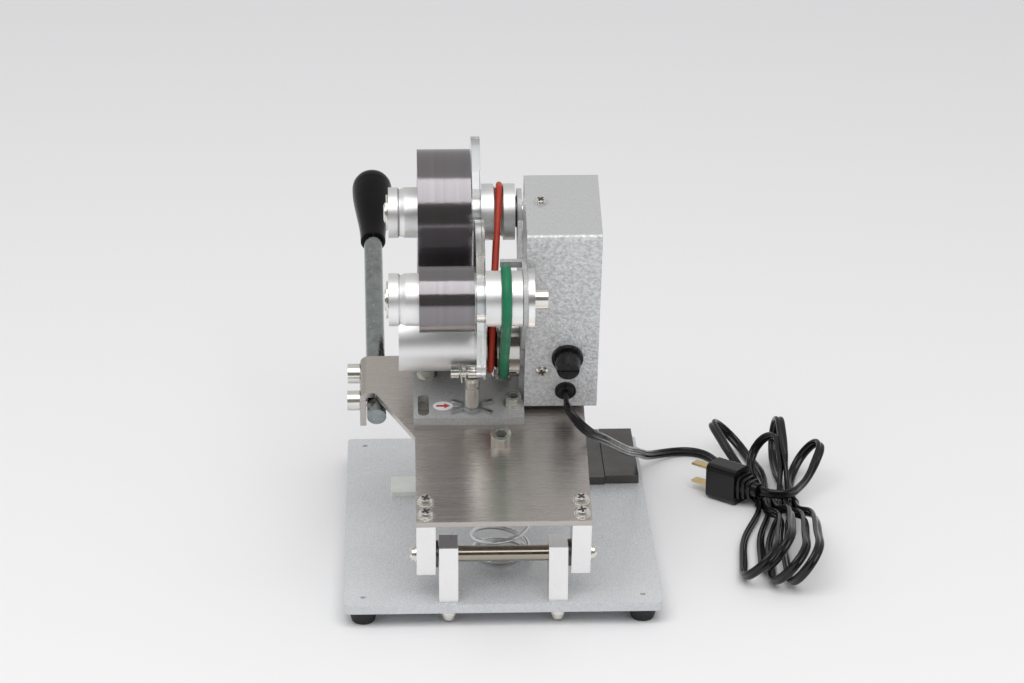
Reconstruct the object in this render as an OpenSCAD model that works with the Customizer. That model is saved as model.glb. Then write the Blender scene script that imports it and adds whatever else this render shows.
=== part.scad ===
// Manual hot foil stamping machine: a sprung arm with foil reels, control box and print head over a flat base.
// X runs along the hinge, +Y points to the operator, +Z is up. Lengths are in millimetres.

/* [Base] */
// Width of the base plate
base_w = 200; // [195:1:240]
// Length of the base plate from the hinge edge to the operator edge
base_l = 260; // [250:1:320]
// Thickness of the base plate
base_t = 6; // [4:0.5:10]
// Corner radius of the base plate
base_r = 4; // [1:0.5:12]
// Height of a rubber foot
foot_h = 10; // [6:0.5:20]
// Diameter of a rubber foot at the base plate
foot_top_d = 20; // [16:0.5:24]
// Diameter of a rubber foot at the table
foot_bottom_d = 15; // [12:0.5:20]
// Distance of the foot centres from the plate edges
foot_inset = 12; // [11:0.5:20]

/* [Hinge] */
// Rest tilt of the arm above level
arm_tilt = 18; // [10:0.5:18]
// Hinge axis from the hinge edge of the base
hinge_y = 12.8; // [12:0.1:20]
// Hinge axis above the base plate
hinge_z = 29.3; // [28.5:0.1:40]
// Diameter of the hinge rod
rod_d = 10; // [8:0.5:12]
// Width of a hinge post
post_w = 12; // [10:0.5:16]
// Depth of a hinge post
post_d = 20; // [16:0.5:24]
// Height of a hinge post above the hinge axis
post_over = 8.2; // [7:0.1:12]
// Distance from the middle plane to the inner face of a post
post_x = 28.3; // [20:0.1:28.6]
// Thickness of a thrust washer
thrust_t = 1.7; // [1:0.1:3]
// Diameter of a thrust washer
thrust_d = 17; // [14:0.5:19]

/* [Arm plate] */
// Width of the arm plate
plate_w = 108.6; // [108:0.1:120]
// Thickness of the arm plate
plate_t = 4; // [3:0.5:6]
// Height of the arm plate's top face above the hinge axis
plate_top = 36; // [35:0.5:42]
// Length of the arm plate behind the hinge axis
plate_back = 10; // [10:0.5:14]
// Length of the arm plate in front of the hinge axis
plate_front = 186; // [178:1:188]
// Depth of a hinge block
block_d = 20; // [16:0.5:20]
// Length of a hinge block below the hinge axis
block_under = 8.6; // [7:0.1:12]
// Start of the wing along the plate's left edge
wing_start = 69.6; // [55:0.1:72]
// Back edge of the wing's flange
wing_back = 112.7; // [106:0.1:115]
// Front edge of the wing
wing_front = 149.5; // [147:0.1:150]
// Outer face of the wing's flange from the middle plane
flange_x = 89.5; // [86:0.1:91]
// Height of the wing's flange
flange_h = 28; // [24:0.5:32]
// Outer radius of the wing's bend
bend_r = 6; // [5:0.5:8]

/* [Handle] */
// Diameter of the handle rod
handle_d = 12.4; // [10:0.1:14]
// Start of the handle rod along the arm
handle_start = 101.3; // [95:0.1:105]
// End of the grip along the arm
handle_end = 356; // [300:1:380]
// Sideways lean of the handle in degrees
handle_lean = 0.7; // [0:0.1:1]
// Length of the grip
grip_l = 74; // [60:1:90]
// Diameter of the grip at its head
grip_d = 27.4; // [22:0.1:30]
// Diameter of the grip at its neck
grip_neck_d = 17; // [15:0.5:20]
// Spacing of the two handle bolts
handle_bolt_gap = 26.6; // [20:0.1:27]

/* [Return spring] */
// Distance of the spring's foot from the hinge axis
spring_y = 57; // [55:0.5:60]
// Outer diameter of the return spring
spring_d = 40; // [36:0.5:42]
// Wire diameter of the return spring
spring_wire = 3.2; // [2.5:0.1:3.6]
// Turns of the return spring
spring_turns = 5.5; // [4.5:0.5:6]

/* [Reel bracket] */
// Thickness of the bracket's foot
bracket_t = 6.5; // [5:0.5:8]
// Back edge of the bracket's foot
bracket_back = 80.4; // [79:0.1:80.5]
// Front edge of the bracket's foot
bracket_front = 130; // [126:0.5:131]
// Left end of the bracket's foot
bracket_left = 55; // [53:0.5:56]
// Outer face of the bracket's upright
upright_x = 15.5; // [15:0.1:16]
// Thickness of the bracket's upright
upright_t = 3; // [2:0.5:3]
// Back reel axis along and above the arm
back_reel = [72, 146.7];
// Front reel axis along and above the arm
front_reel = [178.6, 131.5];
// Feed drum axis along and above the arm
drum_at = [115, 78.4];

/* [Reels] */
// Diameter of an axle
axle_d = 10; // [8:0.5:12]
// Diameter of a foil roller
roller_d = 32.5; // [28:0.5:34]
// Left end of the foil rollers
roller_left = 69.9; // [66:0.1:74]
// Thickness of a clear flange disc
disc_t = 5.6; // [4:0.1:6]
// Diameter of a clear flange disc
disc_d = 97; // [90:0.5:98]
// Right face of the flange discs, left of the middle plane
disc_right = 11.3; // [11:0.1:11.5]
// Width of the foil
foil_w = 34; // [25:0.5:35]
// Diameter of the foil on the back reel
back_foil_d = 41; // [38:0.5:44]
// Diameter of the foil on the front reel
front_foil_d = 81; // [60:0.5:84]
// Diameter of the back pulley
back_pulley_d = 34.4; // [33:0.1:36]
// Diameter of the front pulley
front_pulley_d = 36.4; // [36:0.1:38]
// Diameter of the drive pulley
drive_pulley_d = 48; // [46:0.5:49]
// Diameter of the feed drum
drum_d = 40; // [36:0.5:40.5]
// Left end of the feed drum
drum_left = 64; // [60:0.5:66]
// Cord diameter of the green belt
green_d = 6.2; // [5:0.1:6.2]
// Cord diameter of the red belt
red_d = 4; // [3:0.1:4]

/* [Foil feed] */
// Feed bolt along and above the arm
feed_at = [90, 72.8];
// Thickness of the feed lever
lever_t = 2; // [1.5:0.1:2]
// Diameter of the push rod's head
push_d = 9.5; // [9:0.1:10]
// Diameter of the push rod's stem
stem_d = 8; // [6:0.5:8]
// Upward stroke of the push rod
push_stroke = 6; // [2:0.5:6]

/* [Print head] */
// Middle of the print head along the arm
head_y = 163; // [162:0.5:164]
// Middle of the foil, left of the middle plane
head_x = 34.3; // [33:0.1:35]
// Length of the heater block along the arm
heater_l = 26; // [24:0.5:28]
// Height of the heater block
heater_h = 28; // [24:0.5:28]
// Height of the insulating block
insulator_h = 12; // [10:0.5:12]
// Number of type pieces in the holder
type_count = 9; // [4:1:10]
// Travel of the type holder
holder_travel = 40; // [20:1:40]
// Thickness of the silicone pad
pad_t = 3.2; // [2:0.1:3.4]

/* [Control box] */
// Width of the control box
box_w = 46.5; // [44:0.5:50]
// Back face of the control box along the arm
box_back = 92.8; // [92.8:0.1:94]
// Depth of the control box
box_d = 64.8; // [60:0.5:65]
// Height of the control box
box_h = 139; // [130:1:145]
// Gap between the arm plate and the control box
box_gap = 3; // [1:0.5:6]
// Wall of the control box
box_wall = 1.5; // [1:0.1:2]

/* [Work table] */
// Thickness of the work table plates
table_t = 6; // [4:0.5:7]
// Depth of the work table plates
table_l = 80; // [60:1:84]
// Left edge of the wide table plate
table_left = 6; // [5:0.5:20]
// Joint between the two table plates
table_split = 74; // [60:0.5:80]

/* [Cord] */
// Width of the twin cord
cord_w = 6.6; // [6:0.1:6.6]
// Thickness of the twin cord
cord_t = 3.3; // [3:0.1:3.3]

/* [Hidden] */
$fn = 64;
// Radial clearance of a running fit
run_gap = 0.06;
// Gap between pieces that move past each other
move_gap = 0.3;
// Radial clearance of a screw in its hole
screw_gap = 0.1;
// Overshoot of a cutting tool
cut = 1;

stand_h = foot_h + base_t;
plate_under = plate_top - plate_t;
bracket_top = plate_top + bracket_t;
block_x = post_x + post_w + thrust_t + move_gap;
block_w = plate_w / 2 - block_x;
upright_in = upright_x - upright_t;

handle_x = flange_x - plate_t - handle_d / 2 - move_gap;
handle_z = plate_under - handle_d / 2 - move_gap;
grip_r = grip_d / 2;
lean_at = (wing_back + wing_front) / 2;
grip_middle_y = lean_at + (handle_end - grip_r - lean_at) * cos(handle_lean);
reach = hinge_y + grip_middle_y * cos(arm_tilt) - handle_z * sin(arm_tilt) + grip_r;
disc_edge = hinge_y + back_reel[0] * cos(arm_tilt) - back_reel[1] * sin(arm_tilt) - disc_d / 2;
plate_edge = hinge_y - plate_back * cos(arm_tilt) - plate_top * sin(arm_tilt);
y_mid = (reach + min(0, disc_edge, plate_edge)) / 2;

disc_left = disc_right + disc_t;
roller_r = roller_d / 2;
spigot_r = 10;
pulley_right = upright_in - move_gap;
collar_t = 1.2;
collar_d = 20;
washer_t = 4;
washer_d = 37;
end_washer_t = 1.2;
end_washer_d = 23;
end_head = 13;
end_head_h = 1.5;

green_x = 2.2;
green_back_r = 18.3;
green_drive_r = 22.5;
red_front_x = 0.2;
red_drive_x = -4.8;
red_front_r = 17.5;
red_drive_r = 20;
groove_back = green_d / 2 + move_gap;
groove_red = red_d / 2 + move_gap;
groove_front = red_d / 2 + 1.1;
groove_drive = red_d / 2 + 1.3;
drive_left = 8.7;
lever_right = drive_left + move_gap;
drum_right = lever_right + lever_t + move_gap;
drum_hub_r = 7;

m8 = 8;
m8_head = 13;
m6 = 6;
m6_head = 10;
m5 = 5;
m5_head = 9;
m4 = 4;

head_w = foil_w + 4;
heater_top = plate_under - insulator_h;
heater_bottom = heater_top - heater_h;
guide_d = 8;
print_level = -hinge_z + pad_t;
foil_t = 0.2;
foil_level = print_level + 0.7;
guide_z = foil_level + foil_t + guide_d / 2;
guide_back = head_y - heater_l / 2 - 6;
guide_front = plate_front + 6;
guide_plate_x = head_x - head_w / 2 - 6;
guide_plate_t = 3;
type_bottom = foil_level + foil_t + 0.4;
holder_top = heater_bottom - move_gap;
holder_h = 13.7;
holder_l = heater_l - 6;
rail_h = 6;

box_bottom = plate_top + box_gap;
box_top = box_bottom + box_h;
box_front = box_back + box_d;
box_right = upright_x + box_w;
fuse_at = [42.4, 81.5];
cord_at = [41.8, 54];
back_screw = [26.4, 71];
top_screw = [25, 128];
switch_at = [40, 140];
knob_at = [40, 88];
fuse_flange_d = 20;
fuse_flange_t = 2.5;
fuse_cap_d = 16;
fuse_cap_l = 11;
fuse_stem_d = 9;
grommet_d = 13.5;
grommet_t = 1.5;
grommet_boss = 2;

push_at = [-17.7, 89.5];
sleeve_d = 8.4;
push_top = feed_at[1] - sleeve_d / 2 - move_gap;
push_bottom = print_level - pad_t - push_stroke + move_gap;
nut_t = 3;

// Places children in the base frame: Y from the hinge edge, Z from the top of the base plate.
module at_base() {
    translate([0, -y_mid, stand_h]) children();
}

// Places children in the arm frame: Y and Z from the hinge axis, turned up by the rest tilt.
module at_arm() {
    at_base() translate([0, hinge_y, hinge_z]) rotate([arm_tilt, 0, 0]) children();
}

// Moves children to an axis given by its place along and above the arm.
module on_axis(place) {
    translate([0, place[0], place[1]]) children();
}

// A cylinder along X.
module x_rod(x0, x1, d) {
    translate([x0, 0, 0]) rotate([0, 90, 0]) cylinder(d = d, h = x1 - x0);
}

// A bored cylinder along X.
module x_ring(x0, x1, d, bore) {
    difference() {
        x_rod(x0, x1, d);
        x_rod(x0 - cut, x1 + cut, bore);
    }
}

// A solid of revolution about X from a profile with its radius along x and X along y.
module x_turned() {
    rotate([0, 90, 0]) rotate_extrude() children();
}

// A box between two corners.
module block(a, b) {
    translate(a) cube(b - a);
}

// A rectangle with round corners.
module round_rect(w, l, r) {
    square([w - 2 * r, l], center = true);
    square([w, l - 2 * r], center = true);
    for (x = [-1, 1], y = [-1, 1])
        translate([x * (w / 2 - r), y * (l / 2 - r)]) circle(r);
}

// A flat bar between two points, with a round boss at each end.
module bar_2d(a, b, boss_a, boss_b, w) {
    translate(a) circle(d = boss_a);
    translate(b) circle(d = boss_b);
    translate(a) rotate(atan2(b[1] - a[1], b[0] - a[0])) translate([0, -w / 2]) square([norm(b - a), w]);
}

// A shape drawn along and above the arm, as a plate across X.
module yz_plate(x0, x1) {
    translate([x0, 0, 0]) rotate([90, 0, 90]) linear_extrude(x1 - x0) children();
}

// A socket head screw, its head standing up from the origin and its shank hanging down.
module socket_screw(head_d, head_h, shank_d, shank_l) {
    difference() {
        cylinder(d = head_d, h = head_h);
        translate([0, 0, head_h * 0.45]) cylinder(d = head_d * 0.62, h = head_h, $fn = 6);
    }
    translate([0, 0, -shank_l]) cylinder(d = shank_d, h = shank_l + 0.1);
}

// A pan head screw, its head standing up from the origin and its shank hanging down.
module pan_screw(head_d, head_h, shank_d, shank_l) {
    cylinder(d = head_d, h = head_h * 0.5);
    translate([0, 0, head_h * 0.5]) cylinder(d1 = head_d, d2 = head_d * 0.7, h = head_h * 0.5);
    translate([0, 0, -shank_l]) cylinder(d = shank_d, h = shank_l + 0.1);
}

// Unit vector.
function unit(v) = v / norm(v);

// Direction of a path at one of its points.
function along(path, i) =
    unit(path[min(i + 1, len(path) - 1)] - path[max(i - 1, 0)]);

// Rings of points round a path, oval in width and height, with the width square to a direction, or to one per point.
function rings(path, ref, w, h, sides) = [
    for (i = [0 : len(path) - 1])
        let (t = along(path, i), n = unit(cross(t, is_list(ref[0]) ? ref[i] : ref)), b = cross(n, t))
        for (k = [0 : sides - 1])
            path[i] + n * (w / 2 * cos(360 * k / sides)) + b * (h / 2 * sin(360 * k / sides))
];

// A tube swept along a path.
module tube(path, ref, w, h, sides) {
    last = (len(path) - 1) * sides;
    walls = [
        for (i = [0 : len(path) - 2], k = [0 : sides - 1])
            let (a = i * sides + k, b = i * sides + (k + 1) % sides)
            each [[a, b, b + sides], [a, b + sides, a + sides]]
    ];
    first_cap = [for (k = [1 : sides - 2]) [0, k + 1, k]];
    last_cap = [for (k = [1 : sides - 2]) [last, last + k, last + k + 1]];
    polyhedron(rings(path, ref, w, h, sides), concat(walls, first_cap, last_cap));
}

// A smooth curve through hand-chosen points, with a number of steps between each pair.
function smooth(p, steps) = concat(
    [
        for (i = [0 : len(p) - 2], s = [0 : steps - 1])
            let (
                a = p[max(i - 1, 0)],
                b = p[i],
                c = p[i + 1],
                d = p[min(i + 2, len(p) - 1)],
                u = s / steps
            )
            0.5 * (2 * b + (c - a) * u + (2 * a - 5 * b + 4 * c - d) * u * u
                + (3 * b - a - 3 * c + d) * u * u * u)
    ],
    [p[len(p) - 1]]
);

// Least distance between points of two parts of a path that are some points apart.
function least_gap(path, apart) = min([
    for (i = [0 : len(path) - 1 - apart], j = [i + apart : len(path) - 1])
        norm(path[i] - path[j])
]);

// Foot centres on the base
foot_places = [
    for (x = [-1, 1], y = [foot_inset, base_l - foot_inset])
        [x * (base_w / 2 - foot_inset), y]
];
foot_screw_d = 3.2;
foot_screw_head = 6;
foot_recess = 4;
post_screw_y = hinge_y - post_d / 2 + 5.2;
post_screw_places = [for (x = [-1, 1]) [x * (post_x + post_w / 2), post_screw_y]];
spring_foot = [0, hinge_y + spring_y];
seat_gap = 3;
seat_d = spring_d - 2 * spring_wire - 2 * seat_gap;

module base_plate() {
    color("lightgray") at_base() difference() {
        translate([0, base_l / 2, -base_t]) linear_extrude(base_t) round_rect(base_w, base_l, base_r);
        for (p = foot_places)
            translate([p[0], p[1], -base_t - cut]) cylinder(d = foot_screw_d + 2 * screw_gap, h = base_t + 2 * cut);
        for (p = post_screw_places)
            translate([p[0], p[1], -base_t - cut]) cylinder(d = m6 + 2 * screw_gap, h = base_t + 2 * cut);
        translate([spring_foot[0], spring_foot[1], -base_t - cut])
            cylinder(d = m6 + 2 * screw_gap, h = base_t + 2 * cut);
    }
}

module rubber_feet() {
    edge = 2;
    profile = concat(
        [[foot_top_d / 2, 0], [0, 0], [0, -foot_h]],
        [for (a = [-90 : 30 : 0]) [foot_bottom_d / 2 - edge + edge * cos(a), -foot_h + edge + edge * sin(a)]]
    );
    color("black") at_base() for (p = foot_places)
        translate([p[0], p[1], -base_t]) difference() {
            rotate_extrude() polygon(profile);
            translate([0, 0, -foot_h - cut]) cylinder(d = foot_screw_head + 1, h = foot_h - foot_recess + cut);
            translate([0, 0, -foot_h - cut]) cylinder(d = foot_screw_d + 2 * screw_gap, h = foot_h + 2 * cut);
        }
}

module base_screws() {
    color("silver") at_base() {
        for (p = foot_places)
            translate([p[0], p[1], -base_t - foot_recess]) rotate([180, 0, 0])
                pan_screw(foot_screw_head, 2.4, foot_screw_d, foot_recess + base_t - 1.5);
        for (p = post_screw_places)
            translate([p[0], p[1], -base_t]) rotate([180, 0, 0]) pan_screw(m6_head, foot_h - 2.8, m6, base_t + 12);
    }
}

module hinge_posts() {
    color("gainsboro") at_base() for (x = [-1, 1]) difference() {
        translate([x * (post_x + post_w / 2) - post_w / 2, hinge_y - post_d / 2, 0])
            cube([post_w, post_d, hinge_z + post_over]);
        translate([0, hinge_y, hinge_z]) x_rod(-plate_w, plate_w, rod_d + 2 * run_gap);
        translate([x * (post_x + post_w / 2), post_screw_y, -cut]) cylinder(d = m6 + 2 * screw_gap, h = 12.5 + cut);
    }
}

// The return spring's axis bends from upright at the base to square with the tilted arm plate.
spring_bolt_y = spring_y + 6;
spring_head = [
    hinge_y + spring_bolt_y * cos(arm_tilt) - plate_under * sin(arm_tilt),
    hinge_z + spring_bolt_y * sin(arm_tilt) + plate_under * cos(arm_tilt)
];
spring_tail = [spring_foot[1], 0];
spring_bow = [spring_foot[1], spring_head[1] * 0.5];
spring_l = norm(spring_head - spring_tail);
spring_inset = (spring_wire / 2 + move_gap) / spring_l;
spring_close = (spring_wire + 0.9) / spring_l;

// Share of the spring's length reached after some turns, with closed end turns.
function spring_rise(turn) =
    turn < 1 ? turn * spring_close
    : turn > spring_turns - 1 ? 1 - 2 * spring_inset - (spring_turns - turn) * spring_close
    : spring_close + (turn - 1) / (spring_turns - 2) * (1 - 2 * spring_inset - 2 * spring_close);

function spring_point(turn) =
    let (
        s = spring_inset + spring_rise(turn),
        axis = (1 - s) * (1 - s) * spring_tail + 2 * s * (1 - s) * spring_bow + s * s * spring_head,
        r = (spring_d - spring_wire) / 2,
        lift = r * sin(360 * turn)
    )
    [r * cos(360 * turn), axis[0] + lift * cos(arm_tilt * s), axis[1] + lift * sin(arm_tilt * s)];

spring_path = [for (i = [0 : spring_turns * 8]) spring_point(i / 8)];

module return_spring() {
    color("silver") at_base() tube(spring_path, [0, 0, 1], spring_wire, spring_wire, 6);
}

module spring_seat() {
    seat_t = 2.5;
    color("silver") at_base() translate([spring_foot[0], spring_foot[1], 0]) {
        difference() {
            cylinder(d1 = seat_d, d2 = seat_d - 2, h = seat_t);
            translate([0, 0, -cut]) cylinder(d = m6 + 2 * screw_gap, h = seat_t + 2 * cut);
        }
        translate([0, 0, seat_t]) pan_screw(m8_head, 5, m6, seat_t + base_t - 1);
    }
}

pad_w = 72;
pad_l = heater_l;

module print_pad() {
    color("honeydew") at_base() translate([-head_x, hinge_y + head_y, 0])
        linear_extrude(pad_t) round_rect(pad_w, pad_l, 2);
}

module table_plates() {
    split_gap = 0.4;
    side_in = 3;
    stagger = 1.5;
    color("dimgray") at_base() {
        block([table_left, base_l - table_l - stagger, 0], [table_split, base_l - 0.5, table_t - 0.4]);
        block([table_split + split_gap, base_l - table_l, 0], [base_w / 2 - side_in, base_l - 0.5, table_t]);
    }
}

block_screw_y = [-4, 8];
block_screw_x = plate_w / 2 - 6;
bracket_screw_places = [[8.7, 92.9], [2, 122], [-46, 122]];
head_screw_places = [for (x = [-1, 1]) [-head_x + x * 13, head_y]];
head_screw_l = plate_t + insulator_h + 6;
slot_w = 7;
slot_l = 20;
window = [
    [-head_x - foil_w / 2 - 2, bracket_front + 4],
    [-head_x + foil_w / 2 + 2, bracket_front + 12]
];

// Section of the wing's flange and its bend, drawn along X and Z.
module flange_2d() {
    middle = [-flange_x + bend_r, plate_top - bend_r];
    intersection() {
        difference() {
            translate(middle) circle(bend_r);
            translate(middle) circle(bend_r - plate_t);
        }
        translate([-flange_x - cut, middle[1]]) square([bend_r + cut, bend_r + cut]);
    }
    translate([-flange_x, plate_top - flange_h]) square([plate_t, flange_h - bend_r]);
}

module arm_plate() {
    bolt_y = (wing_back + wing_front) / 2;
    color("rosybrown") at_arm() difference() {
        union() {
            block([-plate_w / 2, -plate_back, plate_under], [plate_w / 2, plate_front, plate_top]);
            translate([0, 0, plate_under]) linear_extrude(plate_t) polygon([
                [-plate_w / 2 + cut, wing_start],
                [-plate_w / 2, wing_start],
                [-flange_x + bend_r + 4, wing_back],
                [-flange_x + bend_r, wing_back],
                [-flange_x + bend_r, wing_front],
                [-plate_w / 2 + cut, wing_front]
            ]);
            translate([0, wing_front, 0]) rotate([90, 0, 0]) linear_extrude(wing_front - wing_back) flange_2d();
        }
        for (x = [-1, 1], y = block_screw_y)
            translate([x * block_screw_x, y, 0]) cylinder(d = m5 + 2 * screw_gap, h = plate_top + cut);
        translate([0, spring_bolt_y, 0]) cylinder(d = m8 + 2 * screw_gap, h = plate_top + cut);
        for (p = concat(bracket_screw_places, head_screw_places))
            translate([p[0], p[1], 0]) cylinder(d = m6 + 2 * screw_gap, h = plate_top + cut);
        translate([push_at[0], push_at[1], 0]) cylinder(d = stem_d + 2 * run_gap, h = plate_top + cut);
        block([window[0][0], window[0][1], 0], [window[1][0], window[1][1], plate_top + cut]);
        for (y = [-1, 1])
            on_axis([bolt_y + y * handle_bolt_gap / 2, handle_z])
                x_rod(-flange_x - cut, -flange_x + plate_t + cut, m8 + 2 * screw_gap);
    }
}

module hinge_blocks() {
    color("gainsboro") at_arm() for (x = [-1, 1]) difference() {
        translate([x * (block_x + block_w / 2) - block_w / 2, -block_d / 2, -block_under])
            cube([block_w, block_d, plate_under + block_under]);
        x_rod(-plate_w, plate_w, rod_d + 2 * run_gap);
        for (y = block_screw_y)
            translate([x * block_screw_x, y, plate_under - 10.5]) cylinder(d = m5 + 2 * screw_gap, h = 10.5 + cut);
    }
}

module hinge_rod() {
    color("tan") at_arm() difference() {
        x_rod(-plate_w / 2, plate_w / 2, rod_d);
        x_rod(-plate_w, -plate_w / 2 + 8.5, m5 + 2 * screw_gap);
        x_rod(plate_w / 2 - 8.5, plate_w, m5 + 2 * screw_gap);
    }
}

module thrust_washers() {
    color("dimgray") at_arm() {
        x_ring(block_x - thrust_t, block_x, thrust_d, rod_d + 2 * run_gap);
        x_ring(-block_x, -block_x + thrust_t, thrust_d, rod_d + 2 * run_gap);
        on_axis(front_reel) x_ring(upright_in - collar_t, upright_in, collar_d, axle_d + 2 * run_gap);
    }
}

// A pan head screw with a washer under its head.
module washered_pan(shank_l) {
    difference() {
        cylinder(d = 11, h = 1);
        translate([0, 0, -cut]) cylinder(d = m5 + 2 * screw_gap, h = 3);
    }
    translate([0, 0, 1]) pan_screw(m5_head, 3.4, m5, shank_l + 1);
}

module pan_screws() {
    color("silver") at_arm() {
        for (x = [-1, 1], y = block_screw_y)
            translate([x * block_screw_x, y, plate_top]) washered_pan(plate_t + 9);
        for (x = [-1, 1])
            translate([x * plate_w / 2, 0, 0]) rotate([0, x * 90, 0]) washered_pan(8);
        translate([back_screw[0], box_back, back_screw[1]]) rotate([90, 0, 0]) pan_screw(8, 2.6, m4, 5);
        translate([top_screw[0], top_screw[1], box_top]) pan_screw(8, 2.6, m4, 5);
        translate([back_screw[0], box_front, back_screw[1]]) rotate([-90, 0, 0]) pan_screw(8, 2.6, m4, 5);
    }
}

module socket_screws() {
    color("silver") at_arm() {
        for (p = bracket_screw_places)
            translate([p[0], p[1], bracket_top]) {
                difference() {
                    cylinder(d = 13, h = 1.2);
                    translate([0, 0, -cut]) cylinder(d = m6 + 2 * screw_gap, h = 4);
                }
                translate([0, 0, 1.2]) socket_screw(m6_head, 6, m6, 1.2 + bracket_t + plate_t);
            }
        for (p = head_screw_places)
            translate([p[0], p[1], plate_top]) socket_screw(m6_head, 6, m6, head_screw_l);
    }
}

module spring_bolt() {
    seat_t = 4;
    color("silver") at_arm() translate([0, spring_bolt_y, 0]) {
        translate([0, 0, plate_top]) socket_screw(m8_head, m8, m8, plate_t + seat_t + m8 - 1);
        difference() {
            translate([0, 0, plate_under - seat_t]) cylinder(d1 = seat_d - 2, d2 = seat_d, h = seat_t);
            translate([0, 0, plate_under - seat_t - cut]) cylinder(d = m8 + 2 * screw_gap, h = seat_t + 2 * cut);
        }
        difference() {
            translate([0, 0, plate_under - seat_t - 6.5]) cylinder(d = 15, h = 6.5, $fn = 6);
            translate([0, 0, plate_under - seat_t - 8]) cylinder(d = m8 + 2 * screw_gap, h = 10);
        }
    }
}

// Places children along the handle's axis, with its lean, from the middle of the flange.
module at_handle() {
    at_arm() translate([-handle_x, lean_at, handle_z]) rotate([0, 0, handle_lean]) rotate([-90, 0, 0]) children();
}

handle_bolt_depth = 9;

module handle_rod() {
    color("silver") at_handle() difference() {
        translate([0, 0, handle_start - lean_at]) cylinder(d = handle_d, h = handle_end - grip_l / 2 - handle_start);
        for (y = [-1, 1])
            translate([-handle_d, 0, y * handle_bolt_gap / 2]) rotate([0, 90, 0])
                cylinder(d = m8 + 2 * screw_gap, h = handle_d / 2 + handle_bolt_depth - plate_t + 1.5);
    }
}

// Outline of the grip: a neck, a waisted taper and a round head.
grip_profile = let (
    neck = grip_neck_d / 2,
    head_z = grip_l - grip_r
) concat(
    [[0, 0], [neck - 1, 0], [neck, 1]],
    [for (i = [1 : 7]) let (u = i / 8) [neck + (grip_r - neck) * (1 - cos(180 * u)) / 2, 1 + (head_z - 1) * u]],
    [for (a = [0 : 15 : 90]) [grip_r * cos(a), head_z + grip_r * sin(a)]]
);

module handle_grip() {
    color("black") at_handle() translate([0, 0, handle_end - grip_l - lean_at]) difference() {
        rotate_extrude() polygon(grip_profile);
        translate([0, 0, -cut]) cylinder(d = handle_d + 2 * run_gap, h = grip_l / 2 + cut);
    }
}

module handle_bolts() {
    bolt_y = (wing_back + wing_front) / 2;
    color("silver") at_arm() for (y = [-1, 1])
        translate([-flange_x, bolt_y + y * handle_bolt_gap / 2, handle_z]) rotate([0, -90, 0])
            socket_screw(m8_head, 8, m8, handle_bolt_depth);
}

module reel_bracket() {
    lobe_back = 36;
    lobe_front = 30;
    lobe_drum = 38;
    bar = 25;
    neck = 28;
    stay_low = back_reel[1] + 6.3;
    stay_h = 4.6;
    stay_out = 25.5;
    stay_t = 3;
    stay_left = 1;
    color("darkgray") at_arm() difference() {
        union() {
            block([-bracket_left, bracket_back, plate_top], [upright_x, bracket_front, bracket_top]);
            yz_plate(upright_in, upright_x) {
                bar_2d(drum_at, back_reel, lobe_drum, lobe_back, bar);
                bar_2d(drum_at, front_reel, lobe_drum, lobe_front, bar);
                translate([drum_at[0] - neck / 2, plate_top]) square([neck, drum_at[1] - plate_top]);
                translate([back_reel[0], stay_low]) square([stay_out, stay_h]);
            }
            block(
                [-stay_left, back_reel[0] + stay_out - stay_t, stay_low],
                [upright_in + cut, back_reel[0] + stay_out, stay_low + stay_h]
            );
        }
        for (p = [back_reel, front_reel, drum_at])
            on_axis(p) x_rod(upright_in - cut, upright_x + cut, axle_d + 2 * run_gap);
        for (p = bracket_screw_places)
            translate([p[0], p[1], plate_top - cut]) cylinder(d = m6 + 2 * screw_gap, h = bracket_t + 2 * cut);
        translate([push_at[0], push_at[1], plate_top - cut])
            cylinder(d = stem_d + 2 * run_gap, h = bracket_t + 2 * cut);
        translate([-48.6, bracket_back + 12.5, plate_top - cut]) linear_extrude(bracket_t + 2 * cut)
            round_rect(slot_w, slot_l, slot_w / 2 - 0.5);
    }
}

module feed_nut() {
    wing_l = 9;
    color("silver") at_arm() translate([push_at[0], push_at[1], bracket_top]) difference() {
        union() {
            cylinder(d = 13, h = nut_t);
            for (a = [20, 200]) rotate([0, 0, a]) translate([5, -1.2, 0]) cube([wing_l, 2.4, nut_t]);
            for (a = [-25, 155]) rotate([0, 0, a]) translate([5, -1.2, 0]) cube([wing_l, 2.4, nut_t - 1]);
        }
        translate([0, 0, -cut]) cylinder(d = stem_d + 1, h = nut_t + 2 * cut);
    }
}

axle_end = roller_left + move_gap;
end_screw_l = 9;
bolt_in_axle = 14;

module axles() {
    color("silver") at_arm() {
        for (p = [back_reel, front_reel]) on_axis(p) difference() {
            x_rod(-axle_end, upright_x, axle_d);
            x_rod(-axle_end - cut, -axle_end + end_screw_l + 0.5, m5 + 2 * screw_gap);
            x_rod(upright_x - bolt_in_axle - 0.5, upright_x + cut, m8 + 2 * screw_gap);
        }
        on_axis(drum_at) x_rod(-drum_left + 4.5, upright_x - 0.1, axle_d);
    }
}

module axle_washer() {
    color("gainsboro") at_arm() on_axis(back_reel)
        x_ring(upright_x, upright_x + washer_t, washer_d, m8 + 2 * screw_gap);
}

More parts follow.
